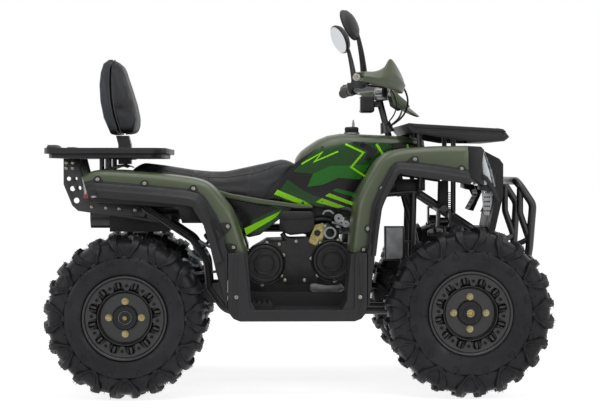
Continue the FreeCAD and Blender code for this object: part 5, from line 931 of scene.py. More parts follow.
def stroke(points, wide):
    """The outline of a straight-edged line through the points."""
    points = [Vector(point) for point in points]
    left, right = [], []
    for number, spot in enumerate(points):
        before, after = around(points, number)
        ways = [way.normalized() for way in (spot - before, after - spot) if way.length]
        normals = [Vector((-way.y, way.x)) for way in ways]
        middle = sum(normals, Vector((0, 0))).normalized()
        reach = 0.5 * wide / max(0.35, middle.dot(normals[0]))
        left.append(tuple(spot + middle * reach))
        right.append(tuple(spot - middle * reach))
    return left + right[::-1]


graphic = (
    (deep_film, 0.8, [(-10, 770), (70, 850), (206, 876), (345, 872), (345, 849), (262, 795), (120, 790), (60, 762)]),
    (green_film, 1.0, [(60, 762), (120, 790), (262, 795), (228, 742), (150, 748), (96, 724), (40, 716)]),
    (deep_film, 1.0, [(-60, 700), (-30, 742), (30, 700), (120, 664), (96, 645), (-40, 664)]),
    (black_film, 1.1, [(190, 876), (236, 876), (290, 846), (262, 808), (240, 812), (256, 842)]),
    (lime_film, 1.3, stroke([(20, 797), (92, 838), (66, 806), (150, 842)], 6)),
    (lime_film, 1.3, stroke([(176, 868), (240, 838), (196, 786), (262, 742)], 7)),
    (lime_film, 1.3, stroke([(286, 868), (312, 826)], 9)),
    (lime_film, 1.3, [(-78, 690), (-66, 706), (26, 668), (60, 648), (24, 650)]),
    (lime_film, 1.3, [(70, 662), (92, 676), (176, 646), (150, 640)]),
    (lime_film, 1.3, [(104, 684), (118, 694), (206, 660), (200, 650)]),
    (green_film, 1.3, [(130, 702), (142, 711), (226, 690), (218, 676)]),
)
for number, (material, lift, outline) in enumerate(graphic):
    place_on(crowned(f"panel_film_{number}", outline, lift, material, panel_outline))
# The strip that runs on forwards, the lower panel behind the rear leg and their printed marks.
for name, near, far, soft, material, outline in (
    ("front_strip", 140, 152, 2, black_film,
     [(345, 872), (400, 874), (452, 862), (496, 846), (500, 832), (430, 838), (345, 840)]),
    ("strip_mark_0", 152.1, 152.5, 0, lime_film, [(392, 866), (399, 868), (404, 846), (397, 845)]),
    ("strip_mark_1", 152.1, 152.5, 0, green_film, [(430, 862), (448, 860), (486, 840), (452, 843)]),
    ("lower_panel", 137, 149, 3, black_film,
     [(-262, 690), (-100, 664), (-8, 644), (-60, 600), (-128, 545), (-168, 536), (-215, 560)]),
    ("lower_mark_0", 149.1, 149.4, 0, deep_film,
     [(-120, 560), (-60, 603), (-24, 630), (-60, 640), (-150, 600), (-176, 556)]),
    ("lower_mark_1", 149.3, 149.6, 0, lime_film,
     [(-176, 545), (-184, 568), (-110, 604), (-52, 632), (-70, 608), (-134, 570)]),
    ("lower_mark_2", 149.5, 149.8, 0, green_film, [(-60, 640), (-16, 645), (-52, 652), (-120, 664), (-96, 650)]),
):
    slab(name, near, far, outline, material, soft=soft)
slab("olive_bar", 138, 165, [(-285, 708), (-230, 692), (-120, 673), (10, 655), (62, 648), (60, 640), (-10, 640),
                             (-130, 654), (-240, 676), (-280, 690)], olive_plastic, soft=5, steps=3)

# Dark liners behind the covers: the pan under the seat, the airbox duct, the box across the frame,
# the inner walls over the rear wheels and the lamps' mounts, all plain black mouldings.
for name, near, far, outline in (
    ("seat_pan", 96, 128, [(-300, 640), (-300, 704), (-120, 704), (-60, 736), (10, 770), (60, 700), (0, 640)]),
    ("duct_wall", 84, 110, [(-70, 600), (-70, 690), (236, 690), (214, 612), (120, 600)]),
    ("cross_box", 20, 130, [(357, 702), (462, 702), (462, 742), (357, 742)]),
    ("guard_liner", 296, 302, [(-704, 664), (-712, 726), (-330, 700), (-322, 592), (-398, 592), (-412, 646)]),
    ("lamp_base", 200, 327, [(640, 724), (676, 722), (683, 704), (664, 700), (640, 708)]),
    ("lamp_strap", 322, 334, [(640, 764), (660, 752), (680, 722), (696, 682), (700, 668), (692, 664), (672, 704),
                              (654, 736), (640, 748)]),
):
    slab(name, near, far, outline, black_plastic, soft=2)

# Seat and backrest. Foam under stretched vinyl, sewn with a piped edge and a few tucks; the seat latches
# on the frame, and the backrest has a moulded shell behind its pad.

# Seat vinyl: a soft leather grain with scattered creases.
seat_vinyl = finish("seat_cover", "seat_vinyl", "#1e1e21", 0.5, shades=(12, "#19191c", "#242528"),
                    sheen=(40, 0.44, 0.6), Specular_IOR_Level=0.4)
tree = seat_vinyl.node_tree
height = put(tree, "ShaderNodeMath", {1: 0.5}, {0: cell_distance(tree, 420), 2: cloud(tree, 60, 4)},
             operation="MULTIPLY_ADD")
relief(tree, height, 0.0006, 0.5)
# Backrest shell: smooth grey moulded skin.
shell_skin = finish("seat_cover", "moulded_grey_skin", "#303338", 0.42, shades=(8, "#2c2f34", "#36393f"),
                    sheen=(30, 0.36, 0.5), Specular_IOR_Level=0.35)
piping_vinyl = finish("seat_cover", "piping_vinyl", "#141517", 0.4, shades=(60, "#101113", "#1a1b1d"))


def blown(piece, pinned, cap):
    """Let cloth pressure round a closed form, by no more than the cap; pinned(point) holds what rests."""
    start = [vertex.co.copy() for vertex in piece.data.vertices]
    held = piece.vertex_groups.new(name="held")
    held.add([index for index, point in enumerate(start) if pinned(point / MM)], 1.0, "ADD")
    cloth = piece.modifiers.new("cloth", "CLOTH").settings
    cloth.vertex_group_mass = "held"
    cloth.use_pressure = True
    cloth.uniform_pressure_force = 4.0
    cloth.effector_weights.gravity = 0
    cloth.quality = 5
    for frame_number in range(1, 21):
        bpy.context.scene.frame_set(frame_number)
    settle(piece)
    bpy.context.scene.frame_set(1)
    piece.vertex_groups.clear()
    for vertex, before in zip(piece.data.vertices, start):
        move = vertex.co - before
        if move.length > cap * MM:
            vertex.co = before + move.normalized() * cap * MM


def puffed(piece, pinned, cap):
    """A closed form remeshed, blown up and smoothed."""
    shape = piece.modifiers.new("voxels", "REMESH")
    shape.mode, shape.voxel_size = "VOXEL", 0.006
    settle(piece)
    blown(piece, pinned, cap)
    relax = piece.modifiers.new("relax", "SMOOTH")
    relax.factor, relax.iterations = 0.5, 6
    finer = piece.modifiers.new("finer", "SUBSURF")
    finer.levels = finer.render_levels = 1
    settle(piece)


def pressed(piece, depth_at):
    """Push the skin inwards by depth_at(point) millimetres."""
    normals = [Vector(normal.vector) for normal in piece.data.vertex_normals]
    for vertex, normal in zip(piece.data.vertices, normals):
        vertex.co -= normal * depth_at(vertex.co / MM) * MM


def blend_along(table, x):
    """The value at x in a table of (x, value), held at its ends."""
    if x <= table[0][0]:
        return table[0][1]
    for (ax, az), (bx, bz) in zip(table, table[1:]):
        if x <= bx:
            return az + (bz - az) * (x - ax) / (bx - ax)
    return table[-1][1]


seat_top = ((-590, 776), (-578, 788), (-560, 797), (-470, 786), (-370, 770), (-300, 764), (-250, 764), (-200, 774),
            (-150, 785), (-100, 796), (-60, 806), (-36, 811), (-14, 808), (0, 795))
seat_low = ((-590, 750), (-560, 741), (-424, 714), (-275, 694), (-140, 678), (-60, 728), (-20, 770), (0, 785))
seat_half = ((-590, 118), (-560, 138), (-480, 145), (-350, 140), (-220, 132), (-120, 128), (-40, 124), (0, 100))
seat_profile = ((0.0, 1.0), (0.35, 0.995), (0.6, 0.97), (0.8, 0.9), (0.92, 0.78), (0.985, 0.6), (1.0, 0.35),
                (0.99, 0.0))
seat_rings = []
for x in [*range(-588, -550, 6), *range(-548, -30, 14), *range(-30, 1, 6)]:
    top, low, wide = (blend_along(table, x) for table in (seat_top, seat_low, seat_half))
    seat_rings.append(both_halves([Vector((x, -wide * out, low + (top - low) * up)) for out, up in seat_profile]))
seat = make_piece("seat_cushion", [loft(seat_rings)], seat_vinyl)
puffed(seat, lambda point: point.z < blend_along(seat_low, point.x) + 8, 7)


def bump(away, wide):
    """A smooth bump of height 1 that falls off with the distance."""
    return math.exp(-(away / wide) ** 2)


def seat_seams(point):
    """Sewn lines: one along each upper edge, three tucks across the waist and two across the nose."""
    top, wide = blend_along(seat_top, point.x), blend_along(seat_half, point.x)
    deep = 2.2 * bump(abs(abs(point.y) - 0.8 * wide), 5) if point.z > top - 40 else 0.0
    outward = abs(point.y)
    for place, strength in ((-330, 3.0), (-300, 3.6), (-272, 3.0), (-120, 1.8), (-60, 1.4)):
        deep += strength * bump(point.x + 0.35 * outward - place, 5.5) * (0.4 + 0.6 * min(1, outward / wide))
    return deep if point.z > top - 90 else 0.0


pressed(seat, seat_seams)
place_on(seat, "seat", sharp=60)
skin = BVHTree.FromPolygons([vertex.co for vertex in seat.data.vertices],
                            [tuple(face.vertices) for face in seat.data.polygons])
seat_piping = []
for side in (-1, 1):
    hits = [skin.ray_cast(Vector((x, side * 0.8 * blend_along(seat_half, x), 900)) * MM, Vector((0, 0, -1)))
            for x in range(-575, -8, 9)]
    seat_piping.append([hit / MM + normal * 0.4 for hit, normal, *_ in hits if hit is not None])
tube("seat_piping", seat_piping, 2.2, piping_vinyl, sides=8, steps=2)

back_middle = Vector((-632, 1035))
# Stations across the backrest: distance from the middle, size of the outline.
half_stations = ((40, 1.0), (90, 1.0), (122, 0.99), (136, 0.965), (143, 0.92), (146, 0.86))
back_stations = [(-out, size) for out, size in half_stations[::-1]] + list(half_stations)


def back_rings(outline):
    """A side outline carried across the backrest, smaller towards its sides."""
    rings = []
    for y, size in back_stations:
        flat = [back_middle + (Vector(spot) - back_middle) * size for spot in outline]
        rings.append([Vector((spot.x, y, spot.y)) for spot in flat])
    return rings


pad_outline = [(-628, 904), (-646, 960), (-657, 1020), (-661, 1081), (-660, 1125), (-657, 1155), (-650, 1168),
               (-640, 1168), (-624, 1146), (-610, 1105), (-595, 1060), (-580, 1010), (-570, 960), (-571, 928),
               (-580, 906), (-604, 903)]
back_pad = make_piece("backrest_cushion", [loft(back_rings(pad_outline))], seat_vinyl)
puffed(back_pad, lambda point: point.x < blend_along(((903, -640), (1020, -650), (1170, -655)), point.z), 5)
pressed(back_pad, lambda point: 2.5 * bump(abs(point.y) - 104, 4.5) if point.x > -648 else 0.0)
place_on(back_pad, "backrest_pad", sharp=60)
shell_outline = [(-632, 903), (-659, 903), (-684, 960), (-696, 1020), (-699, 1081), (-694, 1125), (-684, 1155),
                 (-664, 1170), (-650, 1169), (-661, 1155), (-663, 1125), (-664, 1081), (-660, 1020), (-649, 960)]
build("backrest_shell", [loft(back_rings(shell_outline))], shell_skin, edge=(3, 2, 35), sharp=40)
seam_paths = []
for forward in (-2, 10):
    path = [(x + forward, -145.5 if 940 < z < 1140 else -141.5, z) for x, z in (
        (-630, 906), (-647, 960), (-658, 1020), (-662, 1081), (-661, 1125), (-658, 1152), (-650, 1166))]
    seam_paths += [path, mirrored(path)]
tube("backrest_piping", seam_paths, 2.4, piping_vinyl, sides=8, steps=4)

# Dampers. Coil springs in pale blue enamel over black oil dampers, pinned between the frame and the arms
# by an eye at each end.

# Spring enamel: glossy, slightly chipped down to a darker shade; both shades are painted lighter than the enamel
# itself, as painted light on coils that sit in the shade of the wheels.
spring_enamel_with_painted_light = finish("spring_blue", "spring_enamel_with_painted_light", "#93a7b1", 0.28, shades=(40, "#a9bcc5", "#bccbd2"),
                       Coat_Weight=0.4)
damper_black = finish("spring_blue", "damper_black_enamel", "#18191b", 0.3, shades=(30, "#151618", "#212225"))


def damper(name, pairs):
    """Coils, bodies and eyes between each lower and upper pin."""
    turns, steps, coil_radius = 7, 18, 25
    coils, bodies, collars = [], [], []
    for foot, head in pairs:
        foot, head = Vector(foot), Vector(head)
        run = (head - foot).normalized()
        aside = run.cross(Vector((0, 1, 0)) if abs(run.y) < 0.8 else Vector((1, 0, 0))).normalized()
        other = run.cross(aside)
        long = (head - foot).length
        path = []
        for step in range(turns * steps + 1):
            share = step / (turns * steps)
            out = coil_radius + 0.5 - 0.5 * math.cos(math.pi * min(1, share * 8, (1 - share) * 8))
            turn = 2 * math.pi * step / steps
            path.append(foot + run * long * (0.2 + 0.64 * share)
                        + (aside * math.cos(turn) + other * math.sin(turn)) * out)
        coils.append(tube_shape(path, 5.4, 8, 0))
        # Shares of the length, with a radius: cylinder, rod, lower seat, upper seat and adjuster.
        for start, end, radius in ((0.1, 0.62, 15), (0.55, 0.95, 6), (0.17, 0.2, 30), (0.84, 0.875, 30),
                                   (0.2, 0.3, 18)):
            bodies.append(tube_shape([foot + run * start * long, foot + run * end * long], radius, 24, 0))
        axle = Vector((1, 0, 0)) if abs(run.y) > 0.1 else Vector((0, 1, 0))
        for end in (foot, head):
            collars.append(tube_shape([end - axle * 15.5, end + axle * 15.5], 16, 24, 0))
    build(name + "_springs", coils, spring_enamel_with_painted_light, name, sharp=40)
    build(name + "_bodies", bodies + collars, damper_black, sharp=40)


damper("front_shocks", [((570, side * 262, 246), (523, side * 172, 592)) for side in (-1, 1)])
damper("rear_shock", [((-485, 0, 320), (-275, 0, 560))])

# Engine. Sand-cast alloy painted black with bright screws, a bare lower case, and a small carburettor
# behind a bracket of yellow zinc.

# Engine paint: dark heat-proof enamel over the grain of a sand casting.
engine_paint = finish("engine_alloy", "cast_black_engine_paint", "#121213", 0.4, shades=(25, "#0f0f10", "#1b1b1d"),
                      sheen=(60, 0.34, 0.52), grain=(700, 3, 0.0004, 0.6), Specular_IOR_Level=0.4)
dress(engine_paint, "engine", "engine_covers")
bare_alloy = finish("silver_metal", "bare_cast_alloy", "#88898b", 0.4, 1.0, shades=(30, "#77787a", "#8f9092"),
                    sheen=(120, 0.32, 0.5), grain=(800, 3, 0.0003, 0.6))
dress(bare_alloy, "oil_cooler", "filler_cap")


def turned_across(section, steps, x, z):
    """A closed section of (radius, distance from the middle) turned about a cross axis on the right side."""
    return turned(section, steps, lambda across, up, out: (x + across, -out, z + up))


def screws_right(out, spots):
    return [(Vector((x, -out, z)), (0, -1, 0)) for x, z in spots]


cover_parts, cover_bolts, bolt_circle = [], [], 74
for x, z, bolts in ((127, 455, 7), (-112, 444, 6)):
    for radius, inner, out, tall in ((66, 55, 181, 5), (74, 69, 168, 6), (38, 32, 181, 4)):
        edge, top = out + tall * 0.6, out + tall
        section = [(inner, out), (radius, out), (radius, edge), (radius - 2, top), (inner + 2, top), (inner, edge)]
        cover_parts.append(turned_across(section, 48, x, z))
    for number in range(bolts):
        turn = 2 * math.pi * (number + 0.4) / bolts
        spot = x + bolt_circle * math.cos(turn), z + bolt_circle * math.sin(turn)
        cover_bolts.append(spot)
        cover_parts.append(tube_shape([(spot[0], -150, spot[1]), (spot[0], -168, spot[1])], 9, steps=0))
# The belt housing between the two covers and the cast neck above the front one.
for out, outline in (
    (162, [(-130, 392), (-40, 372), (60, 372), (120, 388), (150, 430), (120, 520), (60, 540), (-60, 522), (-130, 510),
           (-168, 460)]),
    (158, [(66, 512), (128, 530), (136, 570), (112, 588), (84, 580), (60, 548)]),
):
    cover_parts.append(side_plate(outline, 140, out))
build("engine_castings", cover_parts, engine_paint, edge=(1.5, 2, 40))
screws("engine_screws", screws_right(168, cover_bolts)
       + screws_right(163, [(-40, 385), (30, 385), (0, 522), (-60, 512), (104, 576)]))
slab("lower_case", 118, 150, [(52, 392), (78, 372), (110, 366), (160, 370), (176, 352), (150, 338), (70, 338),
                              (48, 350)], bare_alloy, sides=(-1,), soft=4, slot="engine_alloy")
# Yellow-zinc bracket with a window, the inlet flange ring and a small carburettor with its float bowl.
slab("zinc_bracket", 160, 164, [(44, 520), (64, 580), (96, 588), (108, 560), (92, 520), (70, 506)], yellow_zinc,
     holes=[circle_of(76, 552, 11)], sides=(-1,), soft=0.8)
fittings = [
    turned_across([(hole, near), (radius, near), (radius, far - 6), (radius + 3, far - 6), (radius + 3, far),
                   (hole, far)], 32, x, z)
    for x, z, radius, hole, near, far in ((121, 553, 19, 15.5, 96, 166), (152, 604, 13, 4, 96, 150),
                                          (178, 584, 10, 3, 90, 140))]
fittings += [tube_shape([(150, -120, 570), (150, -120, 618)], (13, 10), 20, 1),
             tube_shape([(96, -150, 618), (104, -150, 628), (122, -150, 630), (134, -150, 620)], 5, 10, 4),
             tube_shape([(128, -128, 588), (196, -128, 578)], 8, 14, 0)]
build("carburettor_details", fittings, bare_alloy, slot="engine_alloy", sharp=30)

# Regulator. Thin plates cast side by side, powder coated, on a black moulded plate that is screwed to the
# frame ahead of the front damper.

# Copies of the incoming piece at even steps.
tree, given = start_tree("row_of_copies", Piece="Geometry", Copies="Int", Step="Vector", Finish="Material")
line = put(tree, "GeometryNodeMeshLine", {}, {"Count": given["Copies"], "Offset": given["Step"]})
copies = put(tree, "GeometryNodeInstanceOnPoints", {}, {"Points": line, "Instance": given["Piece"]})
row_of_copies = end_tree(tree, given, copies)


def block(low, high):
    xs, ys, zs = zip(low, high)
    return ([(x, y, z) for x in xs for y in ys for z in zs],
            [(0, 1, 3, 2), (4, 6, 7, 5), (0, 4, 5, 1), (2, 3, 7, 6), (0, 2, 6, 4), (1, 5, 7, 3)])


def row(name, low, high, copies, step, material):
    """A row of blocks, as one piece."""
    piece = make_piece(name, [block(low, high)], material)
    place_on(through_tree(piece, row_of_copies, Copies=copies, Step=Vector(step) * MM, Finish=material), sharp=30)


slab("regulator_plate", 118, 150, [(508, 735), (543, 742), (543, 640), (506, 648)], black_plastic, sides=(-1,),
     soft=3)
row("regulator_fins", (543.3, -150, 640), (566, -118, 643), 8, (0, 0, 7.6), powder_coat)

# Lamps. Black housings, bright reflectors and clear polycarbonate that wraps round to the side; silver
# grille plate under them and red tail lamps.

clear_lens = finish("lamp_lens", "clear_polycarbonate", "#f2f6f8", 0.06, sheen=(30, 0.03, 0.09),
                    Transmission_Weight=0.92, IOR=1.5)
reflector_chrome = finish("lamp_lens", "reflector_chrome", "#c9cccf", 0.16, 1.0, sheen=(60, 0.12, 0.22))
lamp_satin = finish("lamp_lens", "lamp_satin_reflector", "#c3c7ca", 0.42, 0.5, shades=(20, "#b9bdc1", "#ced1d4"))
slab("lamp_housing", 190, 330, [(579, 860), (636, 857), (644, 842), (640, 800), (646, 722), (654, 716), (590, 759)],
     black_plastic, "headlights", soft=4)
slab("lamp_reflector", 196, 325, [(645, 840), (656, 806), (667, 770), (676, 730), (655, 724), (647, 724), (641, 800)],
     lamp_satin, soft=3)
right_and_left = ((-1, "right"), (1, "left"))
bowl, bowl_faces = lathe([(0.1, -8), (34, 0), (34, 5), (24, -2), (8, -6), (0.1, -6)], 28)
for side, suffix in right_and_left:
    bowls = [([Vector((x + spot.z, side * 262 + spot.x, z + spot.y)) for spot in bowl], bowl_faces)
             for x, z in ((652, 806), (666, 760))]
    build(f"lamp_bowls_{suffix}", bowls, reflector_chrome)
slab("lamp_lens", 190.5, 329.5, [(638, 856), (646, 848), (674, 774), (687, 720), (655, 717), (683, 723), (670, 773),
                                 (643, 844), (642, 842), (637, 850)], clear_lens, soft=0.8)
# Silver-painted perforated plate of the intakes under the lamps, with a flange turned back at each side.
silver_paint = finish("silver_metal", "silver_painted_plate", "#a5a7a8", 0.35, 0.35,
                      shades=(20, "#9c9ea0", "#b0b2b3"), sheen=(60, 0.28, 0.42))
flange_holes = [circle_of(x, z, 3.2, 10) for z in range(698, 633, -16) for x in (653, 661, 668)]
slab("grille_flange", 305, 308.5,
     [(641, 709), (674, 712), (682, 700), (677, 660), (668, 618), (650, 618), (644, 672)], silver_paint,
     holes=flange_holes, sides=(-1,), soft=0.6)
# Tail lamps: red lenses over black bases with a pale stripe.
red_lens = finish("red_lens", "red_lens", "#b3121b", 0.12, sheen=(30, 0.1, 0.2), Transmission_Weight=0.25,
                  Coat_Weight=0.6)
dress(red_lens, "tail_lights")
pale_lens = finish("red_lens", "pale_lens", "#e2e6ea", 0.15, sheen=(40, 0.12, 0.22), Coat_Weight=0.5)
slab("tail_stripe", 413.2, 417, [(-733, 752), (-727, 752), (-716, 700), (-722, 690)], pale_lens, soft=1)
slab("tail_marker", 440.5, 470, [(-711, 704), (-700, 702), (-676, 686), (-690, 682), (-706, 692)], pale_lens, soft=2)

# Rear rack. Laser-cut brackets with lightening holes, bolted to the rack and the frame, and a moulded
# deck on posts; the front rack's raised bands follow.

bracket_line = [(-823, 816.5), (-767, 816.5), (-734.6, 688.5), (-727.8, 669), (-557, 655), (-483, 588), (-772, 631),
                (-792.4, 649.7), (-823, 725)]
bracket_holes = [circle_of(x, z, radius, 14) for x, z, radius in (
    (-804, 745, 7.3), (-781, 745, 7.3), (-791, 710, 9), (-768, 712, 8), (-777, 668, 10), (-533, 613, 4.5))]
slab("rack_bracket_plates", 149, 155, bracket_line, powder_coat, "rack_brackets", holes=bracket_holes, soft=0.8)
tube("rack_spacers", [[(x, side * 123.4, 650), (x, side * 149, 650)] for x in (-640, -580) for side in (-1, 1)], 8,
     powder_coat, steps=0)


def screws_both(out, spots):
    return [(Vector((x, side * out, z)), (0, side, 0)) for side in (-1, 1) for x, z in spots]


screws("bracket_bolts", screws_both(155, [(-812, 802), (-790, 802), (-812, 783), (-790, 783), (-723, 645),
                                          (-672, 641), (-626, 638), (-570, 634)]))
tube("rack_posts", [[(x, side * 120, 772), (x, side * 120, 816.7)] for x in (-690, -664) for side in (-1, 1)], 9,
     powder_coat, steps=0)
# The deck: two steps with cut corners, six slots, a socket for the post and a hump at each rear corner.
deck_half = [(-871, 0), (-871, 320), (-853, 392), (-845, 400), (-500, 400), (-487, 390), (-453, 330), (-453, 0)]
step_half = [(-856, 0), (-856, 312), (-838, 385), (-507, 385), (-497, 378), (-468, 322), (-468, 0)]
deck_slots = [[(-796, near), (-516, near), (-516, near + side * 30), (-796, near + side * 30)]
              for side in (-1, 1) for near in (side * 185, side * 241, side * 297)]
socket = [(-639.4, -30.4), (-592.6, -30.4), (-592.6, 30.4), (-639.4, 30.4)]
deck_parts = [plate_shape(half + [(x, -y) for x, y in half[::-1][1:-1]], deck_slots + [socket], high - low,
                          lambda x, y, deep, low=low: Vector((x, y, low + deep)))
              for half, low, high in ((deck_half, 832, 852), (step_half, 817, 832.5))]
for side in (-1, 1):
    deck_parts.append(loft([[Vector((-858, side * out, 851)), Vector((-853, side * out, 851 + high)),
                             Vector((-826, side * out, 851 + high)), Vector((-814, side * out, 851))]
                            for out, high in ((240, 3), (262, 11), (372, 11), (388, 3))]))
build("rear_rack_deck", deck_parts, black_plastic, "rear_rack", edge=(3, 3, 40), sharp=40)
# Two raised bands along each long edge of the front rack, and a bead between them, moulded with its deck.
for height, near, far, outline in (
    ("upper", 344, 354, [(396, 928), (406, 936), (700, 919), (714, 914), (722, 908), (700, 908), (400, 922)]),
    ("lower", 340, 352, [(420, 912), (700, 898), (730, 896), (722, 884), (700, 880), (560, 880), (440, 900)]),
):
    slab("rack_band_" + height, near, far, outline, black_plastic, soft=2.5)
beads = [[(x0, side * 350, z0), (x1, side * 350, z1)] for side in (-1, 1)
         for x0, z0, x1, z1 in ((386, 932, 700, 916), (420, 906, 722, 893))]
tube("rack_beads", beads, 2.6, black_plastic, sides=8, steps=0)

# Handlebar. A bent steel tube in a cast clamp, with rubber grips, switches, brake levers and fluid
# reservoirs, and mirrors on moulded stems.

bar_half = [(198, -440, 1072), (225, -308, 1078), (262, -228, 1078), (306, -136, 1078), (318, -106, 1075),
            (322, -60, 1052), (322, -20, 1049), (322, 20, 1049)]
tube("handlebar_tube", [bar_half + mirrored(bar_half)[::-1][2:]], 11, powder_coat, "handlebar", sides=20, steps=4,
     body="steering")


def turned_on(shape, foot, way):
    """A shape made about +Z, stood at a foot along a way."""
    turn = Vector(way).to_track_quat("Z", "Y")
    return [turn @ Vector(point) + Vector(foot) for point in shape[0]], shape[1]


def rounded_box(name, low, high, material, soft):
    piece = make_piece(name, [block(low, high)], material)
    bevel(piece, soft, 3, 30)
    settle(piece)
    soften(piece, 40)
    return piece


clamp = merged("bar_clamp", [rounded_box("clamp_top", (289, -34, 1050), (333, 34, 1071), bare_alloy, 6),
                             rounded_box("clamp_base", (291, -33, 1027.5), (331, 33, 1049.4), bare_alloy, 5)])
place_on(clamp, body="steering", sharp=None)
screws("clamp_bolts", [(Vector((x, y, 1070.6)), (0, 0, 1)) for x in (298, 324) for y in (-24, 24)], "steering")
# Grip rubber: soft, matt, with a dusty surface.
grip_rubber = finish("grip_rubber", "grip_rubber", "#161618", 0.62, shades=(50, "#1f1f22", "#2d2d30"),
                     grain=(500, 2, 0.0003, 0.6))
grip_section = [(11.4, -1), (15, -3), (18.5, -1), (19, 3), (16.5, 5)]
for rib in range(8, 99, 9):
    grip_section += [(16.5, rib), (17.4, rib + 2), (17.4, rib + 5), (16.5, rib + 7)]
grip_section += [(17, 110), (20, 112), (20, 116), (11.4, 116), (11.4, 60), (11.4, 0), (11.4, -1)]
switch_shape = lathe([(0.1, 118), (17, 118), (19, 120), (19, 157), (17, 158.6), (0.1, 158.6)], 24)
controls, levers = [], []
for side, suffix in right_and_left:
    end, along = Vector((198, side * 440, 1072)), Vector((0.2022, -side * 0.9785, 0.0426))
    build(f"grip_{suffix}", [turned_on(lathe(grip_section, 28), end, along)], grip_rubber,
          *(["grips"] if side < 0 else []), body="steering", sharp=30)
    controls.append(turned_on(switch_shape, end, along))
    levers.append(tube_shape([(224, side * 305, 1077), (249, side * 318, 1076), (254, side * 360, 1074),
                              (255, side * 420, 1072), (252, side * 438, 1071)], (6, 5.5, 5, 4.5, 5), 12))
build("switch_housings", controls, black_plastic, edge=(1.2, 2, 40), body="steering")
build("brake_levers", levers, damper_black, body="steering", slot="black_metal")
# Each mirror is a moulded shell turned to the rider, on a tapered stem, with silvered glass in its rear face.
mirror_wide = 1.3
shell_section = [(0.1, 0), (44, 0), (56, 3), (57, 8), (50, 20), (34, 29), (14, 33), (0.1, 33.6)]
glass_section = [(0.1, -0.6), (50, -0.6), (52, 0.4), (0.1, 0.4)]
for side, suffix in right_and_left:
    low, high = sorted((side * 315.9, side * 294.9))
    tank = rounded_box(f"brake_reservoir_{suffix}", (204.8, low, 1075.9), (246.8, high, 1107.4), damper_black, 3)
    place_on(tank, body="steering", slot="black_metal", sharp=None)
    stem = [(233, side * 292, 1084), (231, side * 300, 1124), (222, side * 316, 1182), (209, side * 330, 1238),
            (196, side * 335, 1262)]
    build(f"mirror_stem_{suffix}", [tube_shape(stem, (12, 11.5, 9.5, 7, 6), 20)], black_plastic,
          *(["mirrors"] if side < 0 else []), body="steering", slot="black_metal")
    facing, centre = Vector((-0.86, -side * 0.27, -0.38)).normalized(), Vector((172, side * 335, 1272))
    level = facing.cross(Vector((0, 0, 1))).normalized()
    turn = Matrix((level.cross(-facing), level, -facing)).transposed()
    for part, section, material, slot, sharp in (("shell", shell_section, black_plastic, "black_plastic", 30),
                                                 ("glass", glass_section, reflector_chrome, "silver_metal", None)):
        points, faces = lathe(section, 36)
        build(f"mirror_{part}_{suffix}", [([turn @ Vector((p.x, p.y * mirror_wide, p.z)) + centre for p in points],
                                           faces)], material, body="steering", slot=slot, sharp=sharp)

# Hand guards. Olive shells bent round the levers, stiffened by a ridge, bolted to the bar's ends and, by
# a steel arm each, to the bar.

# Stations as (x, distance from the middle, lower edge, upper edge).
guard_line = ((196, 452, 1079, 1105), (224, 454, 1075, 1108), (262, 449, 1067, 1109), (294, 436, 1058, 1124),
              (318, 412, 1051, 1154), (346, 372, 1044, 1126), (364, 325, 1042, 1096), (366, 270, 1043, 1090),
              (352, 222, 1046, 1085))
ridge_section = ((0, -3), (0.12, 1), (0.4, 5), (0.46, 7.5), (0.54, 7.5), (0.6, 5), (0.88, 1), (1, -4))
edge_low = flowing([(x, y, low) for x, y, low, high in guard_line], 5)
edge_high = flowing([(x, y, high) for x, y, low, high in guard_line], 5)
guard_rings = []
for number, (low, high) in enumerate(zip(edge_low, edge_high)):
    before, after = around(edge_low, number)
    run = (after - before).normalized()
    out = Vector((-run.y, run.x, 0)).normalized()
    if out.x < 0:
        out = -out
    guard_rings.append([low.lerp(high, share) + out * bulge for share, bulge in ridge_section])
points, faces = sheet(guard_rings)
guards = make_piece("hand_guard_shells", [(points, faces), (mirrored(points), [face[::-1] for face in faces])],
                    olive_plastic)
wall(guards, 4, 0)
bevel(guards, 1, 2, 60)
settle(guards)
tidy_faces(guards)
place_on(guards, "hand_guards", body="steering")
tube("hand_guard_arms", [[(352, side * 228, 1064), (336, side * 196, 1070), (312, side * 150, 1077)]
                         for side in (1, -1)], 5, powder_coat, steps=4, body="steering")
end_bolt = lathe([(0.1, 0), (13, 0), (13, 3), (10, 5), (5, 5.4), (0.1, 5.4)], 24)
build("guard_end_bolts", [turned_on(end_bolt, (198, side * 452.5, 1090), (0, side, 0)) for side in (-1, 1)], zinc,
      body="steering", sharp=30)

# Front shield. A short olive visor moulded in front of the display, with its sides swept back, a narrow
# beak and a wing at each side.

# Stations as (x, height, half width, sweep of the sides).
visor_rings = []
for x, z, half, sweep in ((344, 1064, 62, 6), (362, 1052, 84, 12), (386, 1030, 98, 20), (412, 1006, 84, 22),
                          (436, 986, 52, 14), (455, 971, 22, 6)):
    shares = [step / 6 for step in range(-6, 7)]
    visor_rings.append([Vector((x - sweep * share ** 2, half * share, z - 0.4 * sweep * share ** 2))
                        for share in shares])
visor = make_piece("visor", [sheet(visor_rings)], olive_plastic)
face_up(visor)
wall(visor, 4)
smooth = visor.modifiers.new("smooth", "SUBSURF")
smooth.levels = smooth.render_levels = 1
place_on(visor, "front_shield", body="steering")
slab("visor_wings", 78, 82, [(338, 1062), (352, 1062), (398, 1024), (412, 1003), (380, 992), (352, 1010)],
     olive_plastic, soft=1.5, body="steering")

# Display. A sealed black box with a dark glass face turned to the rider, on a steel plate under the
# bar's clamp.

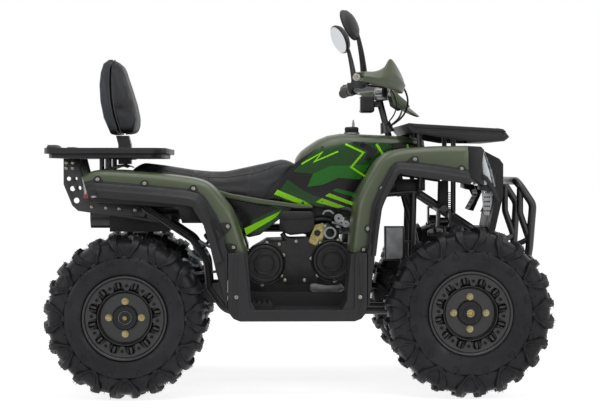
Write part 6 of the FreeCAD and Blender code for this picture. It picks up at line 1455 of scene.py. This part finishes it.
display_glass = finish("black_plastic", "display_glass", "#0c0f12", 0.08, sheen=(30, 0.05, 0.12), Coat_Weight=1.0)
for name, low, high, material, soft, replaced in (
    ("display_case", (236, -54, 984), (286, 54, 1045), black_plastic, 8, ["meter"]),
    ("display_glass", (234.4, -44, 992), (236.4, 44, 1037), display_glass, 0.8, []),
    ("display_bracket", (286, -14, 1004), (312, 14, 1026), powder_coat, 2, []),
):
    place_on(rounded_box(name, low, high, material, soft), *replaced, body="steering", sharp=None)

# Brake hoses and the throttle cable. Black rubber-sheathed lines that loop forwards and down into the
# boot on the column; each leaves its fitting through a tapered sleeve.

hose_rubber = finish("hose_rubber", "hose_rubber", "#1b1b1d", 0.5, shades=(90, "#171719", "#242427"))
# Routes on the left side, in metres.
hose_route = ((0.247, 0.3054, 1.098), (0.272, 0.302, 1.103), (0.301, 0.284, 1.105), (0.325, 0.255, 1.104),
              (0.346, 0.222, 1.099), (0.371, 0.19, 1.079), (0.393, 0.158, 1.049), (0.402, 0.122, 1.013),
              (0.393, 0.088, 0.979), (0.372, 0.058, 0.952), (0.34, 0.014, 0.932))
throttle_route = ((0.243, 0.284, 1.087), (0.266, 0.259, 1.094), (0.297, 0.229, 1.09), (0.33, 0.196, 1.068),
                  (0.353, 0.16, 1.035), (0.361, 0.122, 1.001), (0.353, 0.085, 0.971), (0.338, 0.05, 0.951),
                  (0.333, 0.012, 0.938))
# The sleeve of a hose 7 mm thick, as (radius, distance from the fitting).
sleeve_section = ((3.7, -1), (6, -1), (6, 3), (5.4, 4), (4.4, 20), (3.7, 21), (3.6, 4), (3.7, -1))
for name, route, side, thick, length in (("brake_hose_right", hose_route, -1, 0.007, 0.433),
                                         ("brake_hose_left", hose_route, 1, 0.007, 0.433),
                                         ("throttle_cable", throttle_route, -1, 0.005, 0.365)):
    route = [(x, side * y, z) for x, y, z in route]
    curve = bpy.data.curves.new(name + "_line", "CURVE")
    curve.dimensions = "3D"
    curve.bevel_depth, curve.bevel_resolution, curve.resolution_u = thick / 2, 3, 8
    curve.use_fill_caps = True
    spline = curve.splines.new("NURBS")
    spline.points.add(len(route) - 1)
    for point, spot in zip(spline.points, route):
        point.co = (*spot, 1)
    spline.order_u = 3
    spline.use_endpoint_u = True
    curve.materials.append(hose_rubber)
    line = new_object(name + "_line", curve)
    foot = Vector(route[0]) / MM
    along = (Vector(route[1]) / MM - foot).normalized()
    sleeve_shape = lathe([(radius * thick / 0.007, out) for radius, out in sleeve_section], 18)
    sleeve = build(name + "_sleeve", [turned_on(sleeve_shape, foot, along)], hose_rubber, body="steering", sharp=30)
    place_on(line, name, body="steering", sharp=None)

# Filler cap, airbox and heat exchanger. A ribbed black grip on an alloy collar, a moulded box with its lid
# and rubber hoses at the engine's side, and alloy fins in a steel frame.

build("filler_collar", [
    turned_on(lathe([(0.1, 0), (29, 0), (29, 5), (25, 7), (0.1, 7)], 40), (206, 0, 906.5), (0, 0, 1)),
    turned_on(lathe([(5, 25), (5, 40), (3, 44), (3, 51), (0.1, 51.5), (0.1, 25)], 16), (212, 0, 906.5), (0, 0, 1))],
    bare_alloy, "filler_cap", sharp=30)
ribbed = []
for step, turn in enumerate(circle(72)):
    swell = 0 if step % 2 else 1.2
    ribbed.append([Vector((206 + radius * math.cos(turn), radius * math.sin(turn), z)) for radius, z in (
        (0.1, 913), (23 + swell, 913), (24 + swell, 916), (24 + swell, 928), (21, 932), (0.1, 933))])
build("filler_grip", [sheet(ribbed + [ribbed[0]])], black_plastic, sharp=30)
slab("airbox", 96, 179, [(-58, 625), (-46, 631), (56, 630), (66, 622), (64, 572), (50, 552), (-20, 545), (-58, 560)],
     black_plastic, "intake", sides=(-1,), soft=7, steps=3)
slab("airbox_lid", 179.2, 183, [(-50, 622), (-40, 626), (50, 625), (58, 618), (56, 604), (-50, 600)], black_plastic,
     sides=(-1,), soft=1.5)
tube("inlet_hoses", [[(64, -120, 596), (96, -118, 600), (128, -118, 596)],
                     [(-50, -150, 552), (-30, -152, 530), (40, -150, 528), (62, -140, 520)],
                     [(150, -128, 632), (170, -140, 640), (210, -150, 622), (214, -150, 560)]], (9, 11, 9),
     hose_rubber, steps=6)
row("exchanger_fins", (320, -188.5, 462), (376, -186, 464), 14, (0, 0, 8), bare_alloy)
slab("exchanger_frame", 186.2, 190, [(313, 578), (383, 578), (383, 456), (313, 456)], powder_coat,
     holes=[[(319, 572), (377, 572), (377, 462), (319, 462)]], sides=(-1,), soft=1)

# Footwells. The moulded step gets its outer frame with rounded corners, ribs down its pillars, toothed
# treads and the mudguard legs that carry on from the guards.

for name, near, far, soft, outline in (
    ("footwell_frame", 478, 486, 3, [
        (-237, 496), (-237, 318), (-232, 292), (-218, 274), (-196, 265.5), (192, 265.5), (214, 274), (228, 292),
        (233, 318), (233, 496), (196, 496), (190, 470), (190, 312), (182, 303), (-150, 303), (-163, 312), (-178, 470),
        (-184, 496)]),
    ("footwell_ribs", 485, 489, 1.5, [(-212, 492), (-218, 320), (-208, 286), (-202, 286), (-209, 320), (-204, 492)]),
    ("footwell_front_ribs", 485, 489, 1.5, [(204, 492), (212, 330), (202, 286), (208, 286), (219, 330), (212, 492)]),
    ("rear_mudguard_leg", 452, 482, 4, [(-238, 500), (-238, 316), (-246, 322), (-276, 430), (-297, 520), (-306, 556),
                                        (-286, 590), (-262, 560)]),
    ("rear_leg_ridge", 481, 488, 3, [(-250, 560), (-244, 340), (-252, 352), (-272, 440), (-286, 520)]),
    ("front_mudguard_leg", 452, 482, 4, [(234, 500), (234, 318), (242, 322), (250, 400), (258, 470), (262, 520),
                                         (244, 530)]),
):
    slab(name, near, far, outline, black_plastic, soft=soft)
screws("footwell_screws", [(Vector((x, side * 486, 348)), (0, side, 0)) for x in (-208, 209) for side in (-1, 1)])
for side, suffix in right_and_left:
    row(f"tread_teeth_{suffix}", (-60, side * 365 - 95, 273.5), (-56, side * 365 + 95, 278), 30, (8, 0, 0),
        black_plastic)

bpy.data.objects.remove(screw)
